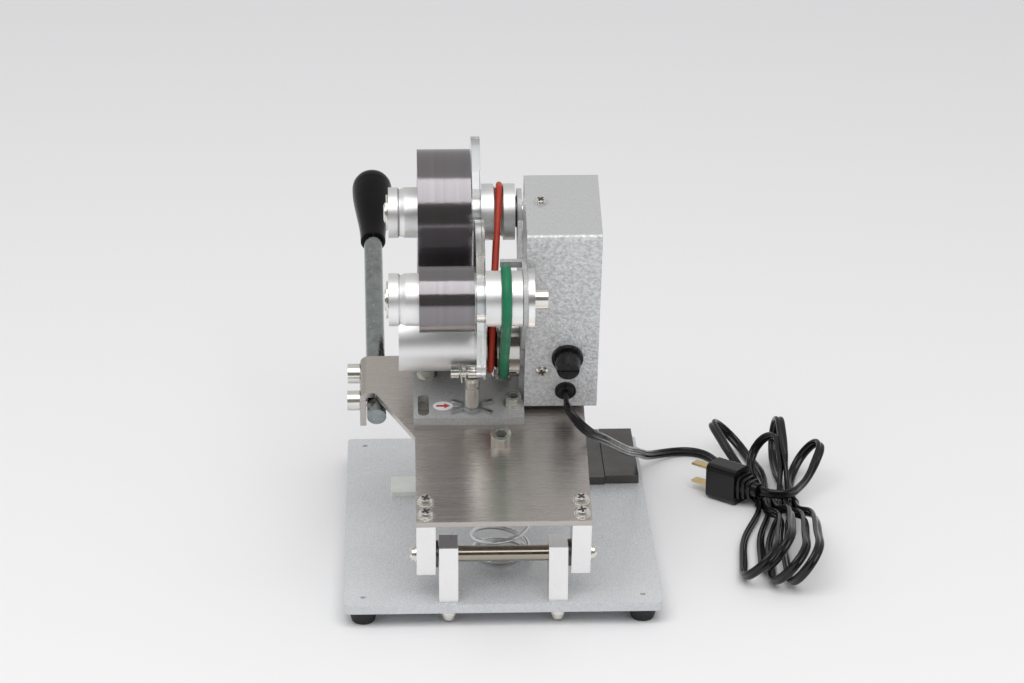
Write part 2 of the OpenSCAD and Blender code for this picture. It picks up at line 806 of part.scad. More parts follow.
module axle_screws() {
    color("silver") at_arm() {
        for (p = [back_reel, front_reel]) on_axis(p) {
            x_ring(-axle_end - end_washer_t, -axle_end, end_washer_d, m5 + 2 * screw_gap);
            translate([-axle_end - end_washer_t, 0, 0]) rotate([0, -90, 0])
                pan_screw(end_head, end_head_h, m5, end_washer_t + end_screw_l);
        }
        on_axis(back_reel) translate([upright_x + washer_t, 0, 0]) rotate([0, 90, 0])
            socket_screw(m8_head, 8.5, m8, washer_t + bolt_in_axle);
        on_axis(front_reel) translate([upright_x, 0, 0]) rotate([0, 90, 0])
            socket_screw(m8_head, 8.5, m8, bolt_in_axle);
    }
}

// A closed tube swept round a loop of points in one plane with the given normal.
module loop_tube(path, normal, d, sides) {
    count = len(path);
    points = [
        for (i = [0 : count - 1])
            let (t = unit(path[(i + 1) % count] - path[(i + count - 1) % count]), n = cross(t, normal))
            for (k = [0 : sides - 1])
                path[i] + n * (d / 2 * cos(360 * k / sides)) + normal * (d / 2 * sin(360 * k / sides))
    ];
    walls = [
        for (i = [0 : count - 1], k = [0 : sides - 1])
            let (
                here = i * sides,
                there = (i + 1) % count * sides,
                next = (k + 1) % sides
            )
            each [[here + k, there + next, here + next], [here + k, there + k, there + next]]
    ];
    polyhedron(points, walls);
}

// A round belt about two pulleys, its plane leaning from one to the other along X.
module belt(a, ax, ra, b, bx, rb, d) {
    from = [ax, a[0], a[1]];
    to = [bx, b[0], b[1]];
    way = unit(to - from);
    side = unit([0, a[1] - b[1], b[0] - a[0]]);
    wrap = acos((ra - rb) / norm(to - from));
    steps = 14;
    loop = concat(
        [for (i = [0 : steps]) let (t = wrap + (360 - 2 * wrap) * i / steps) from + ra * (way * cos(t) + side * sin(t))],
        [for (i = [0 : steps]) let (t = -wrap + 2 * wrap * i / steps) to + rb * (way * cos(t) + side * sin(t))]
    );
    loop_tube(loop, cross(way, side), d, 8);
}

module red_belt() {
    color("firebrick") at_arm() belt(front_reel, red_front_x, red_front_r, drum_at, red_drive_x, red_drive_r, red_d);
}

module green_belt() {
    color("seagreen") at_arm() belt(back_reel, green_x, green_back_r, drum_at, green_x, green_drive_r, green_d);
}

// Points on an arc about a centre.
function arc(c, r, a0, a1, steps) = [
    for (i = [0 : steps]) let (a = a0 + (a1 - a0) * i / steps) c + r * [cos(a), sin(a)]
];

// Outer tangent angle on circle a of the line to circle b, on the side that s gives.
function tangent(a, ra, b, rb, s) =
    atan2(b[1] - a[1], b[0] - a[0]) + s * acos((ra - rb) / norm(b - a));

// Where the foil leaves the rolls, rounds the guide pins and passes the drum
guide_r = guide_d / 2 + move_gap;
pin_front = [guide_front, guide_z];
pin_back = [guide_back, guide_z];
front_roll_r = front_foil_d / 2 + move_gap;
back_roll_r = back_foil_d / 2 + move_gap;
drum_foil_r = drum_d / 2 + move_gap;
leave_front = tangent(front_reel, front_roll_r, pin_front, guide_r, 1);
leave_pin = tangent(pin_back, guide_r, drum_at, drum_foil_r, 1);
cross_angle = atan2(drum_at[1] - pin_back[1], drum_at[0] - pin_back[0])
    + acos((guide_r + drum_foil_r) / norm(drum_at - pin_back));
leave_drum = tangent(drum_at, drum_foil_r, back_reel, back_roll_r, -1);

// Middle line of the foil, set off from the surfaces that it runs on.
function foil_line(off) = concat(
    [front_reel + (front_roll_r + off) * [cos(leave_front), sin(leave_front)]],
    arc(pin_front, guide_r + off, leave_front, -90, 4),
    arc(pin_back, guide_r + off, -90, cross_angle - 360, 6),
    arc(drum_at, drum_foil_r + foil_t - off, cross_angle - 180, leave_drum, 4),
    [back_reel + (back_roll_r + foil_t - off) * [cos(leave_drum), sin(leave_drum)]]
);

function reversed(list) = [for (i = [len(list) - 1 : -1 : 0]) list[i]];

module foil_web() {
    color("saddlebrown") at_arm() yz_plate(-head_x - foil_w / 2, -head_x + foil_w / 2)
        polygon(concat(foil_line(0.02), reversed(foil_line(foil_t))));
}

module foil_guides() {
    leg_w = 8;
    left = -head_x - foil_w / 2 - 2;
    color("silver") at_arm() {
        yz_plate(-guide_plate_x - guide_plate_t / 2, -guide_plate_x + guide_plate_t / 2) {
            translate([guide_back - leg_w / 2, heater_top]) square([guide_front - guide_back + leg_w, insulator_h]);
            for (y = [guide_back, guide_front])
                translate([y - leg_w / 2, guide_z]) square([leg_w, heater_top - guide_z + cut]);
            for (y = [guide_back, guide_front]) translate([y, guide_z]) circle(d = guide_d);
        }
        for (y = [guide_back, guide_front])
            on_axis([y, guide_z]) x_rod(left, -guide_plate_x, guide_d);
    }
}

module insulator() {
    color("peru") at_arm() difference() {
        translate([-head_x - head_w / 2 + 1, head_y - heater_l / 2 + 2, heater_top])
            cube([head_w - 2, heater_l - 4, insulator_h]);
        for (p = head_screw_places)
            translate([p[0], p[1], heater_top - cut]) cylinder(d = m6 + 2 * screw_gap, h = insulator_h + 2 * cut);
    }
}

cartridge_d = 8;
cartridge_z = heater_bottom + rail_h + 9;
rail_top = 14;
rail_mouth = 10;

// Section of the dovetail between heater block and type holder, drawn along and above the arm.
module dovetail_2d(gap) {
    polygon([
        [head_y - rail_mouth / 2 - gap, heater_bottom - cut],
        [head_y - rail_mouth / 2 - gap, heater_bottom],
        [head_y - rail_top / 2 - gap, heater_bottom + rail_h - move_gap + gap],
        [head_y + rail_top / 2 + gap, heater_bottom + rail_h - move_gap + gap],
        [head_y + rail_mouth / 2 + gap, heater_bottom],
        [head_y + rail_mouth / 2 + gap, heater_bottom - cut]
    ]);
}

module heater_block() {
    color("gainsboro") at_arm() difference() {
        block(
            [-head_x - head_w / 2, head_y - heater_l / 2, heater_bottom],
            [-head_x + head_w / 2, head_y + heater_l / 2, heater_top]
        );
        yz_plate(-head_x - head_w / 2 - cut, -head_x + head_w / 2 + cut) dovetail_2d(move_gap);
        for (y = [-1, 1])
            on_axis([head_y + y * 7, cartridge_z])
                x_rod(-head_x - head_w / 2 + 2, -head_x + head_w / 2 + cut, cartridge_d + 2 * run_gap);
        for (p = head_screw_places)
            translate([p[0], p[1], heater_top - 7]) cylinder(d = m6 + 2 * screw_gap, h = 7 + cut);
    }
}

module heater_cartridges() {
    color("silver") at_arm() for (y = [-1, 1])
        on_axis([head_y + y * 7, cartridge_z])
            x_rod(-head_x - head_w / 2 + 2.1, -head_x + head_w / 2 + 1, cartridge_d);
}

type_w = 3.4;
type_l = 11.6;
type_depth = 8;
holder_bottom = holder_top - holder_h;

module type_holder() {
    wall = 2;
    row_l = type_count * type_w + 0.4;
    tab_l = 9;
    color("goldenrod") at_arm() difference() {
        union() {
            block(
                [-head_x - head_w / 2 + 1, head_y - holder_l / 2, holder_bottom],
                [-head_x + head_w / 2 - 1, head_y + holder_l / 2, holder_top]
            );
            yz_plate(-head_x - head_w / 2 + 1, -head_x + head_w / 2 - 1) difference() {
                dovetail_2d(0);
                translate([0, heater_bottom - 2 * cut]) square([2 * head_y, 2 * cut - move_gap - 0.1]);
            }
            block(
                [-head_x - head_w / 2 + 1 - tab_l, head_y - 5, holder_top - 6],
                [-head_x - head_w / 2 + 1 + cut, head_y + 5, holder_top - 3]
            );
        }
        block(
            [-head_x - row_l / 2, head_y - type_l / 2 - 0.2, holder_bottom - cut],
            [-head_x + row_l / 2, head_y + type_l / 2 + 0.2, holder_bottom + type_depth]
        );
    }
}

module type_pieces() {
    gap = 0.1;
    color("gold") at_arm() for (i = [0 : type_count - 1])
        translate([-head_x + (i - type_count / 2) * type_w + gap / 2, head_y - type_l / 2, type_bottom])
            cube([type_w - gap, type_l, holder_bottom + type_depth - type_bottom]);
}

cover_r = 3;

module box_cover() {
    middle = [(box_back + box_front) / 2, (box_bottom + box_top) / 2];
    color("lightgray") at_arm() difference() {
        yz_plate(upright_x, box_right) translate(middle) round_rect(box_d, box_h, cover_r);
        yz_plate(upright_x - cut, box_right - box_wall) translate(middle)
            round_rect(box_d - 2 * box_wall, box_h - 2 * box_wall, cover_r - box_wall);
        translate([fuse_at[0], box_back - cut, fuse_at[1]]) rotate([-90, 0, 0]) cylinder(d = 13, h = box_wall + 2 * cut);
        translate([cord_at[0], box_back - cut, cord_at[1]]) rotate([-90, 0, 0]) cylinder(d = 11, h = box_wall + 2 * cut);
        for (y = [box_back - cut, box_front - box_wall - cut])
            translate([back_screw[0], y, back_screw[1]]) rotate([-90, 0, 0])
                cylinder(d = m4 + 2 * screw_gap, h = box_wall + 2 * cut);
        translate([top_screw[0], top_screw[1], box_top - box_wall - cut])
            cylinder(d = m4 + 2 * screw_gap, h = box_wall + 2 * cut);
        translate([switch_at[0] - 6.6, box_front - box_wall - cut, switch_at[1] - 10.1]) cube([13.2, box_wall + 2 * cut, 20.2]);
        translate([knob_at[0], box_front + cut, knob_at[1]]) rotate([90, 0, 0]) cylinder(d = 7, h = box_wall + 2 * cut);
    }
}

module box_side() {
    tab_t = 1.5;
    tab_w = 14;
    tab_l = 16;
    in_gap = 0.1;
    inner_back = box_back + box_wall + in_gap;
    inner_front = box_front - box_wall - in_gap;
    inner_top = box_top - box_wall - in_gap;
    inner_bottom = box_bottom + box_wall + in_gap;
    color("gray") at_arm() difference() {
        union() {
            block([upright_x, inner_back + 2, inner_bottom + 2], [upright_x + tab_t, inner_front - 2, inner_top - 2]);
            for (y = [inner_back, inner_front - tab_t])
                block([upright_x, y, back_screw[1] - tab_w / 2], [upright_x + tab_l, y + tab_t, back_screw[1] + tab_w / 2]);
            for (y = [inner_back, inner_front - 2 - tab_t])
                block(
                    [upright_x, y, back_screw[1] - tab_w / 2],
                    [upright_x + tab_t, y + 2 + tab_t, back_screw[1] + tab_w / 2]
                );
            block(
                [upright_x, top_screw[1] - tab_w / 2, inner_top - tab_t],
                [upright_x + tab_l, top_screw[1] + tab_w / 2, inner_top]
            );
            block(
                [upright_x, top_screw[1] - tab_w / 2, inner_top - 4],
                [upright_x + tab_t, top_screw[1] + tab_w / 2, inner_top]
            );
        }
        for (y = [inner_back - cut, inner_front - tab_t - cut])
            translate([back_screw[0], y, back_screw[1]]) rotate([-90, 0, 0])
                cylinder(d = m4 + 2 * screw_gap, h = tab_t + 2 * cut);
        translate([top_screw[0], top_screw[1], inner_top - tab_t - cut])
            cylinder(d = m4 + 2 * screw_gap, h = tab_t + 2 * cut);
    }
}

// Places children on the control box's back wall, with Z pointing out.
module on_box_back(place) {
    at_arm() translate([place[0], box_back, place[1]]) rotate([90, 0, 0]) children();
}

// Places children on the control box's front wall, with Z pointing out.
module on_box_front(place) {
    at_arm() translate([place[0], box_front, place[1]]) rotate([-90, 0, 0]) children();
}

module fuse_holder() {
    color("black") on_box_back(fuse_at) difference() {
        union() {
            cylinder(d = fuse_flange_d, h = fuse_flange_t);
            translate([0, 0, -32]) cylinder(d = 12.6, h = 32.1);
        }
        translate([0, 0, -9]) cylinder(d = fuse_stem_d + 2 * run_gap, h = 20);
    }
}

module fuse_cap() {
    skirt = fuse_cap_l * 0.55;
    color("black") on_box_back(fuse_at) difference() {
        union() {
            translate([0, 0, -8]) cylinder(d = fuse_stem_d, h = 12);
            translate([0, 0, fuse_flange_t + move_gap]) cylinder(d = fuse_cap_d, h = skirt);
            translate([0, 0, fuse_flange_t + move_gap + skirt])
                cylinder(d1 = fuse_cap_d, d2 = fuse_cap_d - 2, h = fuse_cap_l - skirt);
        }
        translate([-fuse_cap_d, -0.6, fuse_flange_t + move_gap + fuse_cap_l - 1]) cube([2 * fuse_cap_d, 1.2, 2]);
    }
}

module cord_grommet() {
    color("black") on_box_back(cord_at) {
        translate([0, 0, -box_wall - 2]) cylinder(d = 10.8, h = box_wall + 2.1);
        cylinder(d = grommet_d, h = grommet_t);
        translate([0, 0, grommet_t]) cylinder(d1 = 10.5, d2 = 9, h = grommet_boss);
    }
}

rocker_w = 10;
rocker_l = 17;

module switch_frame() {
    color("black") on_box_front(switch_at) difference() {
        union() {
            translate([-8, -12, 0]) cube([16, 24, 2]);
            translate([-6.5, -10, -16]) cube([13, 20, 16.1]);
        }
        translate([-rocker_w / 2 - move_gap, -rocker_l / 2 - 0.6, -9]) cube([rocker_w + 2 * move_gap, rocker_l + 1.2, 20]);
        translate([-6.25, 0, -2]) rotate([0, 90, 0]) cylinder(d = 2 + 2 * run_gap, h = 12.5);
    }
}

module switch_rocker() {
    rise = 1.6;
    color("firebrick") on_box_front(switch_at) {
        translate([-rocker_w / 2, 0, 0]) rotate([90, 0, 90]) linear_extrude(rocker_w) polygon([
            [-rocker_l / 2 + 0.6, -3],
            [0, -5],
            [rocker_l / 2 - 0.6, -3],
            [rocker_l / 2 - 0.6, 2 + rise],
            [0, 2.2],
            [-rocker_l / 2 + 0.6, 2 + rise]
        ]);
        translate([-6.1, 0, -2]) rotate([0, 90, 0]) cylinder(d = 2, h = 12.2);
    }
}

module heat_knob() {
    knob_d = 22;
    knob_h = 13;
    flutes = 16;
    color("black") on_box_front(knob_at) {
        difference() {
            translate([0, 0, move_gap]) cylinder(d1 = knob_d, d2 = knob_d - 3, h = knob_h);
            for (i = [0 : flutes - 1])
                rotate([0, 0, i * 360 / flutes]) translate([knob_d / 2, 0, 3]) cylinder(d = 1.8, h = knob_h);
            translate([-0.6, 4, knob_h - 0.6 + move_gap]) cube([1.2, knob_d, 2]);
        }
        translate([0, 0, -12]) cylinder(d = 6, h = 13);
    }
}

// A foil roller with its end groove and the spigot that carries the flange disc.
module roller(place) {
    groove_x = -roller_left + 6;
    groove_w = 4.4;
    groove_depth = 1.3;
    color("gainsboro") at_arm() on_axis(place) difference() {
        union() {
            x_rod(-roller_left, -disc_left, roller_d);
            x_rod(-disc_left - cut, -disc_right, 2 * spigot_r);
        }
        x_rod(-roller_left - cut, cut, axle_d + 2 * run_gap);
        translate([groove_x, 0, 0]) x_turned() polygon([
            [roller_r + 1, 0], [roller_r, 0], [roller_r - groove_depth, 1.2], [roller_r, groove_w], [roller_r + 1, groove_w]
        ]);
        x_ring(-roller_left - cut, -roller_left + 1.2, 22, 16);
    }
}

module disc(place) {
    color("whitesmoke", 0.5) at_arm() on_axis(place)
        x_ring(-disc_left, -disc_right, disc_d, 2 * spigot_r + 2 * run_gap);
}

module foil_roll(place, d) {
    foil_gap = 0.1;
    color("saddlebrown") at_arm() on_axis(place)
        x_ring(-head_x - foil_w / 2, -head_x + foil_w / 2, d, roller_d + 2 * foil_gap);
}

// A groove cutter about X with a round bottom, open to the outside and wider than its belt where that leans.
module groove(x, r, under, half) {
    play = half - under;
    translate([x, 0, 0]) x_turned() {
        for (side = [-1, 1]) translate([r, side * play]) circle(under);
        if (play > 0) translate([r - under, -play]) square([under + 1, 2 * play]);
        translate([r, -half]) square([40, 2 * half]);
    }
}

module back_roller() {
    roller(back_reel);
}

module back_disc() {
    disc(back_reel);
}

module back_foil() {
    foil_roll(back_reel, back_foil_d);
}

module back_pulley() {
    color("gainsboro") at_arm() on_axis(back_reel) difference() {
        x_ring(-disc_right, pulley_right, back_pulley_d, axle_d + 2 * run_gap);
        groove(green_x, green_back_r, groove_back, groove_back);
    }
}

module front_roller() {
    roller(front_reel);
}

module front_disc() {
    disc(front_reel);
}

module front_foil() {
    foil_roll(front_reel, front_foil_d);
}

module front_pulley() {
    color("gainsboro") at_arm() on_axis(front_reel) difference() {
        x_ring(-disc_right, upright_in - collar_t - move_gap, front_pulley_d, axle_d + 2 * run_gap);
        groove(red_front_x + 0.36, red_front_r, groove_red, groove_front);
    }
}

module feed_drum() {
    rim = 2;
    color("gainsboro") at_arm() on_axis(drum_at) difference() {
        x_rod(-drum_left, -drum_right, drum_d);
        x_rod(-drum_left + 4, cut, axle_d + 2 * run_gap);
        x_ring(-drum_left - cut, -drum_left + 0.8, drum_d - 2 * rim, drum_d - 4 * rim);
    }
}

module drum_sleeve() {
    color("gainsboro") at_arm() on_axis(drum_at)
        x_ring(-drum_right, -drive_left, 2 * drum_hub_r, axle_d + 2 * run_gap);
}

module drive_pulley() {
    color("silver") at_arm() on_axis(drum_at) difference() {
        x_ring(-drive_left, pulley_right, drive_pulley_d, axle_d + 2 * run_gap);
        groove(green_x, green_drive_r, groove_back, groove_back);
        groove(red_drive_x - 0.2, red_drive_r, groove_red, groove_drive);
    }
}

module push_rod() {
    head_bottom = bracket_top + nut_t + move_gap;
    neck_z = push_top - 7.5;
    chamfer = 1;
    color("silver") at_arm() translate([push_at[0], push_at[1], 0]) difference() {
        union() {
            translate([0, 0, push_bottom]) cylinder(d = stem_d, h = head_bottom - push_bottom + cut);
            translate([0, 0, head_bottom]) cylinder(d = push_d, h = push_top - chamfer - head_bottom);
            translate([0, 0, push_top - chamfer]) cylinder(d1 = push_d, d2 = push_d - 2 * chamfer, h = chamfer);
        }
        translate([0, 0, neck_z]) difference() {
            cylinder(d = push_d + 2, h = 2);
            translate([0, 0, -cut]) cylinder(d = push_d - 2, h = 2 + 2 * cut);
        }
    }
}

feed_head_l = 5;
feed_head_d = 8.5;
sleeve_left = 20.5;
coil_w = 5.4;
feed_bolt_left = sleeve_left + coil_w + 0.4;

module feed_lever() {
    lever_boss = 22;
    lever_eye = 11;
    lever_bar = 9;
    color("rosybrown") at_arm() yz_plate(-lever_right - lever_t, -lever_right) difference() {
        bar_2d(drum_at, feed_at, lever_boss, lever_eye, lever_bar);
        translate(drum_at) circle(d = 2 * drum_hub_r + 2 * run_gap);
        translate(feed_at) circle(d = m5 + 2 * screw_gap);
    }
}

module feed_bolt() {
    color("silver") at_arm() on_axis(feed_at) {
        translate([-feed_bolt_left, 0, 0]) rotate([0, -90, 0])
            socket_screw(feed_head_d, feed_head_l, m5, feed_bolt_left - lever_right);
        x_ring(-sleeve_left, -lever_right - lever_t, sleeve_d, m5 + 2 * screw_gap);
    }
}

// The feed spring: coils about the feed bolt, with a leg down beside the push rod.
coil_wire = 1;
coil_turns = 4;
coil_r = sleeve_d / 2 - coil_wire / 2;
coil_path = concat(
    [
        for (i = [0 : coil_turns * 8])
            let (a = 45 * i)
            [
                -sleeve_left - coil_wire / 2 - 0.3 - i / 8 * (coil_w - coil_wire - 0.6) / coil_turns,
                feed_at[0] + coil_r * sin(a),
                feed_at[1] + coil_r * cos(a)
            ]
    ],
    [
        [-sleeve_left - coil_w + 0.7, feed_at[0] + coil_r, feed_at[1] + 1.2],
        [-sleeve_left - coil_w + 0.8, feed_at[0] + coil_r - 0.4, feed_at[1] - 4],
        [-sleeve_left - coil_w + 1.6, feed_at[0] + coil_r - 1.5, feed_at[1] - 8.5],
        [-sleeve_left - coil_w + 1.8, feed_at[0] + coil_r - 2, feed_at[1] - 11]
    ]
);

module feed_spring() {
    color("silver") at_arm() tube(coil_path, [1, 0, 0], coil_wire, coil_wire, 6);
}

// The twin cord: a lead from the control box to the table, and a tied hank with loops to both sides of its tie.
// Lead points: across, from the hinge edge and above the base plate
exit_y = hinge_y + (box_back - grommet_t - grommet_boss) * cos(arm_tilt) - cord_at[1] * sin(arm_tilt);
exit_z = hinge_z + (box_back - grommet_t - grommet_boss) * sin(arm_tilt) + cord_at[1] * cos(arm_tilt);
exit_out = [0, -cos(arm_tilt), -sin(arm_tilt)];
lead_points = [
    [46, 70, 103.5], [52, 68, 95], [61, 79, 81], [74, 105, 62.5], [87, 150, 37.5], [96.5, 195, 16.5],
    [106.5, 232, -2.5], [116, 250, -9.5], [126.5, 259.5, -12.3], [136.5, 262, -12.6], [146, 259, -12.6]
];
table_z = -stand_h;
tie_at = [193, 172];
tie_half = 8;
strand = 4.3;
layer_low = table_z + cord_w / 2 + 0.05;
plug_level = table_z + 13;
bend_steps = 8;
run_steps = 3;

// Place across of one strand where it passes the tie.
function column(j) = tie_at[0] + (j - 3) * strand;

// Loops in the order that the cord runs: first strand, tip, radius of its bend, and how far its left side rolls up
petals = [
    [0, [158, 36], 14.5, 58],
    [1, [160, 281], 14.5, -52],
    [2, [175, 37], 14.5, 60],
    [3, [200, 264], 14.5, -70],
    [4, [194, 28], 14.5, 56],
    [5, [221, 222], 14, -62]
];

// Where a loop leaves the tie, midway between its strands, its directions out and to the left, and its bend's middle.
function petal_side(petal) = sign(petal[1][1] - tie_at[1]);
function petal_root(petal) = [
    (column(petal[0]) + column(petal[0] + 1)) / 2,
    tie_at[1] + petal_side(petal) * tie_half
];
function petal_way(petal) = unit(petal[1] - petal_root(petal));
function petal_left(petal) = petal_side(petal) * [-petal_way(petal)[1], petal_way(petal)[0]];
function petal_reach(petal) = norm(petal[1] - petal_root(petal)) - petal[2];

// Angle at which the two runs of a loop spread to meet its bend.
function petal_spread(petal) =
    let (half = strand / 2, reach = petal_reach(petal))
    asin(petal[2] / norm([reach, half])) - atan2(half, reach);

// A loop laid flat, as distances out from the tie and to the left: a run, a round bend and the run back.
function petal_flat(petal) =
    let (
        half = strand / 2,
        reach = petal_reach(petal),
        r = petal[2],
        spread = petal_spread(petal),
        first = [reach - r * sin(spread), r * cos(spread)],
        run = [for (k = [0 : run_steps - 1]) [0, half] + (first - [0, half]) * k / run_steps]
    )
    concat(
        run,
        [
            for (i = [0 : bend_steps])
                let (a = 90 + spread - (180 + 2 * spread) * i / bend_steps)
                [reach + r * cos(a), r * sin(a)]
        ],
        [for (k = [run_steps - 1 : -1 : 0]) [run[k][0], -run[k][1]]]
    );

// A point of a loop that is rolled up on one side, the strands staying side by side at the tie.
function petal_point(petal, at, extra) =
    let (
        half = strand / 2,
        roll = petal[3],
        held = max(-half, min(half, at[1])) * max(0, 1 - 2 * at[0] / petal_reach(petal)),
        flat = petal_root(petal) + petal_way(petal) * at[0]
            + petal_left(petal) * (at[1] * cos(roll) + held * (1 - cos(roll)) + extra),
        rise = (at[1] - held) * sin(roll) + petal[2] * abs(sin(roll)) * at[0] / petal_reach(petal)
    )
    [flat[0], flat[1], layer_low + max(0, rise)];

// The direction square to a loop, upright near the tie and leaning with the loop farther out.
function petal_ref(petal, at) =
    let (
        roll = petal[3] * max(0, min(1, (at[0] / petal_reach(petal) - 0.3) / 0.4)),
        left = petal_left(petal)
    )
    [-left[0] * sin(roll), -left[1] * sin(roll), cos(roll)];

// The lead comes in beside the second loop.
join_at = 65;
join_loop = petals[1];
hank_start = [
    for (k = [3 : -1 : 0])
        let (
            u = join_at * k / 3,
            flat = petal_flat(join_loop)[run_steps],
            beside = strand / 2 + (flat[1] - strand / 2) * u / flat[0],
            at = petal_point(join_loop, [u, beside], strand * (1 + u / petal_reach(join_loop)))
        )
        [at[0], at[1], layer_low]
];
hank_way = unit(hank_start[1] - hank_start[0]);
loops = concat(
    hank_start,
    [for (petal = petals, at = petal_flat(petal)) petal_point(petal, at, 0)]
);
last_point = loops[len(loops) - 1];
turn_from = -90;
turn_to = 140 - 360;
turn_r = 14;
turn_middle = last_point + turn_r * [sin(turn_from), -cos(turn_from), 0];
turn_steps = 8;
hank_turn = [
    for (i = [1 : turn_steps])
        let (a = turn_from + (turn_to - turn_from) * i / turn_steps)
        [turn_middle[0] - turn_r * sin(a), turn_middle[1] + turn_r * cos(a), plug_level]
];
plug_way = [cos(turn_to), sin(turn_to), 0];
plug_back = hank_turn[turn_steps - 1] + plug_way * cord_w;
lift_from = len(loops) - 6;
function lifted(z, part) = part < 1 ? max(z, layer_low + (plug_level - layer_low) * part) : plug_level;
hank_path = concat(
    [hank_start[0] - hank_way * cord_w],
    [
        for (i = [0 : len(loops) - 1])
            i < lift_from ? loops[i]
            : [loops[i][0], loops[i][1], lifted(loops[i][2], (i - lift_from) / 5)]
    ],
    hank_turn,
    [plug_back]
);
up = [0, 0, 1];
hank_refs = concat(
    [for (i = [0 : len(hank_start)]) up],
    [for (petal = petals, at = petal_flat(petal)) petal_ref(petal, at)],
    [for (i = [0 : turn_steps]) up]
);
lead_path = concat(
    [[cord_at[0], exit_y, exit_z], [cord_at[0], exit_y, exit_z] + exit_out * 6],
    smooth(lead_points, 2),
    [hank_path[0] - hank_way * 7, hank_path[0]]
);
echo(hank_least_gap = least_gap(rings(hank_path, hank_refs, cord_t, cord_w, 6), 8 * 6));
echo(spring_least_gap = least_gap(spring_path, 6) - spring_wire);

module cord_lead() {
    color("black") at_base() tube(lead_path, [0, 0, 1], cord_t, cord_w, 8);
}

module cord_hank() {
    color("black") at_base() tube(hank_path, hank_refs, cord_t, cord_w, 6);
}

module cord_tie() {
    tie_gap = 0.3;
    tie_t = 1.2;
    tie_l = 2.4;
    inner_w = 5 * strand + cord_t + 2 * tie_gap;
    inner_h = cord_w + tie_gap;
    color("black") at_base() translate([(column(0) + column(5)) / 2, tie_at[1] + tie_l / 2, layer_low - cord_w / 2])
        rotate([90, 0, 0]) linear_extrude(tie_l) difference() {
            translate([0, (inner_h + tie_t) / 2]) square([inner_w + 2 * tie_t, inner_h + tie_t], center = true);
            translate([0, inner_h / 2 - cut]) square([inner_w, inner_h + 2 * cut], center = true);
        }
}

plug_l = 37;
plug_tail = 14;
plug_t = 18;
plug_h = 25;
blade_at = 6.35;

// Places children at the plug's cord end, with X along the plug towards its blades.
module at_plug() {
    at_base() translate(plug_back) rotate([0, 0, turn_to]) children();
}

module plug_body() {
    ribs = 3;
    color("black") at_plug() difference() {
        union() {
            rotate([0, 90, 0]) cylinder(d1 = 9, d2 = 14, h = plug_tail);
            for (i = [0 : ribs - 1])
                translate([3.6 + i * 3.6, 0, 0]) rotate([0, 90, 0]) linear_extrude(2)
                    round_rect(12 + i * 2.4, 12 + i * 1.6, 3);
            translate([plug_tail, 0, 0]) rotate([0, 90, 0]) linear_extrude(plug_l - plug_tail)
                round_rect(plug_h, plug_t, 4);
        }
        for (z = [-1, 1])
            translate([plug_l - 6, -3.3, z * blade_at - 0.85]) cube([7, 6.6, 1.7]);
    }
}

module plug_blades() {
    blade_out = 16;
    color("goldenrod") at_plug() for (z = [-1, 1])
        translate([plug_l - 5.5, -3.15, z * blade_at - 0.75]) cube([blade_out + 5.5, 6.3, 1.5]);
}

base_plate();
rubber_feet();
base_screws();
hinge_posts();
return_spring();
spring_seat();
print_pad();
table_plates();
cord_lead();
cord_hank();
cord_tie();
plug_body();
plug_blades();
arm_plate();
hinge_blocks();
hinge_rod();
thrust_washers();
pan_screws();
socket_screws();
spring_bolt();
handle_rod();
handle_grip();
handle_bolts();
reel_bracket();
feed_nut();
axles();
axle_washer();
axle_screws();
red_belt();
green_belt();
foil_web();
foil_guides();
insulator();
heater_block();
heater_cartridges();
box_cover();
box_side();
fuse_holder();
cord_grommet();
switch_frame();
back_roller();
back_disc();
back_pulley();
back_foil();
front_roller();
front_disc();
front_pulley();
front_foil();
feed_drum();
drum_sleeve();
drive_pulley();
push_rod();
feed_lever();
feed_bolt();
feed_spring();
fuse_cap();
switch_rocker();
heat_knob();
type_holder();
type_pieces();
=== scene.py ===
import math

import bpy
from mathutils import Matrix, Vector


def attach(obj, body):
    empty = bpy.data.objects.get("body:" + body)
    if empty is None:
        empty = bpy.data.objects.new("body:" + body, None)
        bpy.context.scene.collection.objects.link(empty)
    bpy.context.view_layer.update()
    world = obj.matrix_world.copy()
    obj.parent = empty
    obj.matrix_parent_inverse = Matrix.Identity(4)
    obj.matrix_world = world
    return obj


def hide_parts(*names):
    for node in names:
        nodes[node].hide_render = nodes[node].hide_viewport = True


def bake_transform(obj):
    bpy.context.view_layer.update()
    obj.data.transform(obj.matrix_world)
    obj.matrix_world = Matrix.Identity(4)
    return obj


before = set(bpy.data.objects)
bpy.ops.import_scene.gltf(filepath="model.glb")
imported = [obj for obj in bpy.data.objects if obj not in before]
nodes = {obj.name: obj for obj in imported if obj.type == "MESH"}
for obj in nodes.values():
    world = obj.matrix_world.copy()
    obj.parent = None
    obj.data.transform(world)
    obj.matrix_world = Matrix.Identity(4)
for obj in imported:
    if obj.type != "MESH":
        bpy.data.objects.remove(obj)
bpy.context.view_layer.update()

# Measures in millimetres: on the base from its hinge edge and top, on the arm from the hinge
TILT = math.radians(18)
FOOTPRINT_MIDDLE = 165.7975
STAND_HEIGHT = 16.0
HINGE = (12.8, 29.3)
BACK_REEL = (72.0, 146.7)
FRONT_REEL = (178.6, 131.5)
DRUM = (115.0, 78.4)
FEED_BOLT = (90.0, 72.8)
BRACKET_TOP = 42.5
PLATE_TOP = 36.0
ARM_X = Vector((1, 0, 0))
ARM_Y = Vector((0, math.cos(TILT), math.sin(TILT)))
ARM_Z = Vector((0, -math.sin(TILT), math.cos(TILT)))
UP = Vector((0, 0, 1))


def on_base(x, y, z):
    """A place on the base, in metres in the shared frame."""
    return Vector((x, y - FOOTPRINT_MIDDLE, z + STAND_HEIGHT)) / 1000


